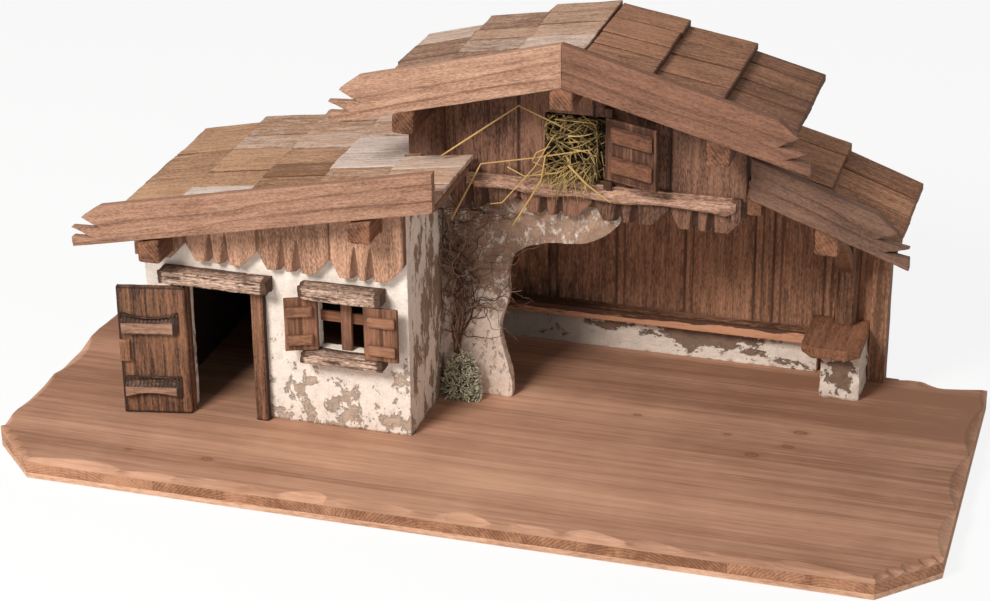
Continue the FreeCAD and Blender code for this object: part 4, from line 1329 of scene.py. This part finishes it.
cornice()
beam_low, beam_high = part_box("cornice_beam")
plain_board("cornice_backing", Vector((beam_low.x - 8 * MM, beam_high.y - 3 * MM, beam_low.z + 5 * MM)),
            Vector((beam_high.x + 3 * MM, beam_high.y, beam_high.z + 2.5 * MM)), "cornice", 0.3, 2.0)
plain_board("cornice_end_block", Vector((beam_high.x - 4 * MM, beam_high.y - 6 * MM, beam_low.z - 3 * MM)),
            Vector((beam_high.x + 4 * MM, beam_high.y, beam_high.z + 2 * MM)), "dark_clad", 0.3)


# Loose plant matter: strands are thin tubes along given points

def strand(bm, points, radius, tone, sides=4, taper=0.5):
    layer = layers(bm)[0]
    rings = []
    for k, p in enumerate(points):
        ahead = points[min(k + 1, len(points) - 1)] - points[max(k - 1, 0)]
        if ahead.length < 1e-9:
            ahead = Vector((0, 0, 1))
        turn = ahead.normalized().to_track_quat("Z", "Y").to_matrix()
        r = radius * (1 - taper * k / (len(points) - 1))
        ring = []
        for s in range(sides):
            a = math.tau * s / sides
            v = bm.verts.new(p + turn @ Vector((math.cos(a) * r, math.sin(a) * r, 0)))
            v[layer] = tone
            ring.append(v)
        rings.append(ring)
    for a, b in zip(rings[:-1], rings[1:]):
        bridge(bm, a, b)
    bm.faces.new(list(reversed(rings[0])))
    bm.faces.new(rings[-1])


HAY_COUNT = 520
HAY_FRONT = 9.0
HAY_DEPTH = 24
HAY_MARGIN = 0.8
HAY_SINK = 2
HAY_HALF = (7, 19)
HAY_BOW = (2.0, 5.0)
HAY_RADIUS = (0.35, 0.85)
# Ends that trail down in front: how far inside the bundle they start, their rise, reach and sideways drift
HAY_TRAILS = 60
TRAIL_INSET = (2, 6)
TRAIL_RISE = (4, 16)
TRAIL_REACH = (6, 24)
TRAIL_SIDE = (-3, 11)
TRAIL_RADIUS = (0.3, 0.6)
# Room that the closing hatch needs beside the hay and beside its trailing ends, in millimetres
HATCH_ROOM = 8.0
TRAIL_ROOM = 3


def hay():
    rng = random.Random(SEED)
    low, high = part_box("hay_bundle")
    bm = new_mesh()
    margin = HAY_MARGIN * MM
    for _ in range(HAY_COUNT):
        deep = rng.random()
        centre = Vector((rng.uniform(low.x, high.x), low.y - HAY_FRONT * MM * 0.4 + HAY_DEPTH * MM * deep,
                         rng.uniform(low.z - HAY_SINK * MM, high.z - HAY_SINK * MM)))
        lean = rng.gauss(0, 0.9)
        along = Vector((math.cos(lean), rng.uniform(-0.35, 0.35), math.sin(lean)))
        bend = Vector((rng.uniform(-1, 1), rng.uniform(-0.5, 0.3), rng.uniform(-1, 0.6)))
        half = rng.uniform(*HAY_HALF) * MM
        bow = rng.uniform(*HAY_BOW) * MM
        points = []
        for k in range(6):
            t = k / 5 * 2 - 1
            p = centre + along * (half * t) + bend * (t * t * bow)
            p.x = clamp(p.x, low.x + margin, high.x - margin)
            p.z = clamp(p.z, low.z + margin, high.z - margin)
            p.y = max(p.y, low.y - HAY_FRONT * MM)
            if p.y < low.y + 1 * MM:
                p.x = min(p.x, high.x - HATCH_ROOM * MM)
            points.append(p)
        # painted shade: strands lying deeper in the bundle are darker
        strand(bm, points, rng.uniform(*HAY_RADIUS) * MM, max(0.0, rng.uniform(-0.1, 1.2) - 1.35 * deep))
    for _ in range(HAY_TRAILS):
        x = rng.uniform(low.x + TRAIL_INSET[0] * MM, high.x - TRAIL_INSET[1] * MM)
        start = Vector((x, low.y + 2 * MM, low.z + rng.uniform(*TRAIL_RISE) * MM))
        reach = rng.uniform(*TRAIL_REACH) * MM
        side = rng.gauss(*TRAIL_SIDE) * MM
        points = []
        for k in range(7):
            t = k / 6
            p = start + Vector((side * t, -(6 + 8 * math.sin(t * 2)) * MM * min(1, t * 3), -reach * t * t))
            p.x = min(p.x, high.x - HATCH_ROOM * MM - TRAIL_ROOM * MM)
            points.append(p)
        strand(bm, points, rng.uniform(*TRAIL_RADIUS) * MM, rng.uniform(0.3, 1.0))
    return make_object("hay_stuffing", bm, MAT["hay"], BODY, ("hay_bundle",))


# Long bent stalks, in millimetres: radius, then each bend
STALKS = (
    (0.8, ((-46, 12, 249), (18, 22, 296), (62, 32, 273), (74, 42, 262))),
    (0.8, ((-36, 6, 196), (-13, 16, 244), (30, 20, 252), (79, 27, 262))),
    (0.6, ((9, 18, 243), (24, 16, 237), (51, 20, 241), (66, 40, 244))),
    (0.5, ((-5, 14, 210), (6, 12, 213), (33, 14, 246), (46, 26, 270), (52, 40, 272))),
    (0.9, ((17, 6, 196), (39, 14, 235), (41, 20, 255), (50, 40, 262))),
    (1.0, ((60, 22, 248), (78, 14, 236), (99, 10, 224))),
    (0.5, ((97, 20, 228), (104, 15, 231), (111, 12, 235))),
    (0.5, ((44, 24, 262), (34, 18, 258), (30, 18, 250), (38, 20, 246), (56, 40, 248))),
)
STALK_SPAN = 6


def bent_path(points):
    path = []
    for a, b in zip(points[:-1], points[1:]):
        path += [a.lerp(b, k / STALK_SPAN) for k in range(STALK_SPAN)]
    path.append(points[-1].copy())
    return path


def stalks():
    rng = random.Random(SEED + 5)
    bm = new_mesh()
    for radius, bends in STALKS:
        points = [Vector(p) * MM for p in bends]
        strand(bm, bent_path(points), radius * MM, rng.uniform(0.4, 1.0), 6, 0.35)
    return make_object("hay_stalks", bm, MAT["stalk"], BODY)


ROOT_STEMS = 9
ROOT_RUNS = 105
ROOT_TAIL = 52.0
# Where the stems rise and where they fork, from the low corner of the roots' box, in millimetres
STEM_X = 13
FORK_Z = 44
STEM_STEPS = 26
RUN_STEPS = (10, 34)
ROOT_PACE = (2.0, 3.6)
# Stems and runs: sideways start, distance from the wall, radius, sway of each step and reach of the tone
STEM = {"side": (0, 2.4), "out": (2, 8), "radius": (0.8, 1.4), "sway": 0.1, "tone": 0.9}
RUN = {"side": (2, 7), "out": (1, 9), "radius": (0.3, 0.7), "sway": 0.42, "tone": 0.7}
STEM_SUNK = (6, 18)
RUN_RISE = (22, 30)
ROOT_AIMS = (0.5, 0.8, 1.1, 1.5, 1.9)
TAIL_SLOPE = 0.35


def roots():
    """Thin roots rise from a few stems beside the house and spread over the plaster of the arch."""
    rng = random.Random(SEED + 11)
    low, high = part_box("climbing_roots")
    wall = high.y
    bm = new_mesh()
    stem_x = low.x + STEM_X * MM
    fork_z = low.z + FORK_Z * MM
    for n in range(ROOT_STEMS + ROOT_RUNS):
        stem = n < ROOT_STEMS
        kind = STEM if stem else RUN
        x = stem_x + rng.gauss(*kind["side"]) * MM
        y = wall - rng.uniform(*kind["out"]) * MM
        if stem:
            p = Vector((x, y, low.z - rng.uniform(*STEM_SUNK) * MM))
            aim, heading, steps = 1.5 + rng.gauss(0, 0.1), 1.5, STEM_STEPS
        else:
            p = Vector((x, y, fork_z + rng.gauss(*RUN_RISE) * MM))
            aim = rng.choice(ROOT_AIMS)
            heading = aim + rng.gauss(0, 0.8)
            steps = rng.randint(*RUN_STEPS)
        radius = rng.uniform(*kind["radius"])
        points = []
        for _ in range(steps):
            points.append(p.copy())
            heading += rng.gauss(0, kind["sway"]) + 0.12 * (aim - heading)
            pace = rng.uniform(*ROOT_PACE) * MM
            p = p + Vector((math.cos(heading) * pace, rng.gauss(0, 0.7) * MM, math.sin(heading) * pace))
            p.x = clamp(p.x, low.x + 0.6 * MM, high.x + ROOT_TAIL * MM)
            p.y = clamp(p.y, low.y, wall - 0.5 * MM)
            p.z = min(p.z, high.z - 1.0 * MM - max(0.0, p.x - high.x) * TAIL_SLOPE)
        strand(bm, points, radius * MM, rng.random() * kind["tone"], 5, 0.6)
    return make_object("root_tangle", bm, MAT["roots"], BODY, ("climbing_roots",))


MOSS_TUFTS = 1900
MOSS_DEPTH = (0.55, 0.96)
MOSS_STEPS = 5
MOSS_SWAY = 0.8
MOSS_PACE = (0.7, 1.5)
MOSS_RADIUS = (0.35, 0.7)


def moss():
    rng = random.Random(SEED + 17)
    low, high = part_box("moss_clump")
    centre = Vector(((low.x + high.x) / 2, (low.y + high.y) / 2, low.z))
    half = Vector(((high.x - low.x) / 2, (high.y - low.y) / 2, high.z - low.z))
    bm = new_mesh()
    for _ in range(MOSS_TUFTS):
        a = rng.uniform(0, math.tau)
        lift = rng.random()
        spread = math.sqrt(max(0.0, 1 - lift ** 3))
        depth = rng.uniform(*MOSS_DEPTH)
        out = Vector((math.cos(a) * spread, math.sin(a) * spread, lift))
        lump = 0.88 + 0.16 * wobble(a * 1.6, lift * 4, SEED)
        p = centre + Vector((out.x * half.x, out.y * half.y, out.z * half.z)) * depth * lump
        heading = out.normalized()
        # painted shade: strands deeper inside the clump are darker, the outer ones lighter
        tone = clamp((depth - MOSS_DEPTH[0]) * 1.9 + rng.gauss(0, 0.15))
        points = []
        for _ in range(MOSS_STEPS):
            points.append(p.copy())
            turn = Vector((rng.gauss(0, MOSS_SWAY), rng.gauss(0, MOSS_SWAY), rng.gauss(0.1, MOSS_SWAY)))
            heading = (heading + turn).normalized()
            p = p + heading * rng.uniform(*MOSS_PACE) * MM
            p.x = max(p.x, low.x - 0.5 * MM)
            p.y = min(p.y, high.y + 0.5 * MM)
            p.z = max(p.z, low.z + 0.6 * MM)
        strand(bm, points, rng.uniform(*MOSS_RADIUS) * MM, tone, 4, 0.3)
    return make_object("moss_tuft", bm, MAT["moss"], BODY, ("moss_clump",))


hay()
stalks()
roots()
moss()


# Camera, light and stage

CLIP_END = 50.0
FLOOR_SIZE = 6.0
FLOOR_DROP = 0.0005
FLOOR_ROUGH = 0.95
FLOOR_WHITE = 0.87
SKY_LIGHT = 0.24
SKY_TINT = (1.0, 0.985, 0.965, 1)


def camera():
    right = Vector((math.cos(YAW), math.sin(YAW), 0))
    ahead = Vector((-math.sin(YAW) * math.cos(PITCH), math.cos(YAW) * math.cos(PITCH), -math.sin(PITCH)))
    up = right.cross(ahead)
    side = right * math.cos(ROLL) + up * math.sin(ROLL)
    top = up * math.cos(ROLL) - right * math.sin(ROLL)
    data = bpy.data.cameras.new("photo_camera")
    data.sensor_width = SENSOR_MM
    data.lens = FOCAL_PX * SENSOR_MM / IMAGE_WIDTH
    data.clip_end = CLIP_END
    eye = bpy.data.objects.new("photo_camera", data)
    turn = Matrix((side, top, -ahead)).transposed().to_4x4()
    eye.matrix_world = Matrix.Translation(Vector(CAMERA_MM) * MM) @ turn
    bpy.context.scene.collection.objects.link(eye)
    bpy.context.scene.camera = eye


def area_light(name, place, target, size, power, colour):
    data = bpy.data.lights.new(name, "AREA")
    data.size = size
    data.energy = power
    data.color = colour
    lamp = bpy.data.objects.new(name, data)
    lamp.location = place
    lamp.rotation_euler = (Vector(target) - Vector(place)).to_track_quat("-Z", "Y").to_euler()
    bpy.context.scene.collection.objects.link(lamp)


def seen_rays(tree):
    """One for camera, glossy and transmitted rays, zero for the light that falls on things."""
    path = tree.nodes.new("ShaderNodeLightPath")
    total = path.outputs["Is Camera Ray"]
    for name in ("Is Glossy Ray", "Is Transmission Ray"):
        both = tree.nodes.new("ShaderNodeMath")
        both.operation = "MAXIMUM"
        tree.links.new(total, both.inputs[0])
        tree.links.new(path.outputs[name], both.inputs[1])
        total = both.outputs[0]
    return total


def blend_white(tree, plain, white, share, surface):
    """Shows the plain surface to the light and mostly white to the eye."""
    part = tree.nodes.new("ShaderNodeMath")
    part.operation = "MULTIPLY"
    part.inputs[1].default_value = share
    tree.links.new(seen_rays(tree), part.inputs[0])
    blend = tree.nodes.new("ShaderNodeMixShader")
    for socket, source in zip(blend.inputs, (part.outputs[0], plain, white)):
        tree.links.new(source, socket)
    tree.links.new(blend.outputs[0], surface)


def stage():
    bm = bmesh.new()
    bmesh.ops.create_grid(bm, x_segments=1, y_segments=1, size=FLOOR_SIZE)
    mesh = bpy.data.meshes.new("studio_floor")
    bm.to_mesh(mesh)
    bm.free()
    floor = bpy.data.objects.new("studio_floor", mesh)
    floor.location.z = -FLOOR_DROP
    material = bpy.data.materials.new("studio_floor")
    material.use_nodes = True
    tree = material.node_tree
    pale = tree.nodes["Principled BSDF"]
    pale.inputs["Base Color"].default_value = grey(0.9)
    pale.inputs["Roughness"].default_value = FLOOR_ROUGH
    white = tree.nodes.new("ShaderNodeEmission")
    white.inputs["Strength"].default_value = 1.0
    blend_white(tree, pale.outputs[0], white.outputs[0], FLOOR_WHITE, tree.nodes["Material Output"].inputs["Surface"])
    mesh.materials.append(material)
    bpy.context.scene.collection.objects.link(floor)
    world = bpy.data.worlds.new("studio")
    world.use_nodes = True
    bpy.context.scene.world = world
    tree = world.node_tree
    sky = tree.nodes["Background"]
    sky.inputs["Color"].default_value = SKY_TINT
    sky.inputs["Strength"].default_value = SKY_LIGHT
    white = tree.nodes.new("ShaderNodeBackground")
    white.inputs["Color"].default_value = grey(1.0)
    white.inputs["Strength"].default_value = 1.0
    blend_white(tree, sky.outputs[0], white.outputs[0], 1.0, tree.nodes["World Output"].inputs["Surface"])
    bpy.context.scene.view_settings.view_transform = "Standard"


camera()
stage()
area_light("key_light", (-0.8, -1.7, 1.75), (-0.05, 0.0, 0.12), 0.75, 62.0, (1.0, 0.98, 0.95))
area_light("fill_light", (1.9, -1.6, 1.3), (0.1, 0.0, 0.15), 1.6, 7.0, (1.0, 0.98, 0.96))
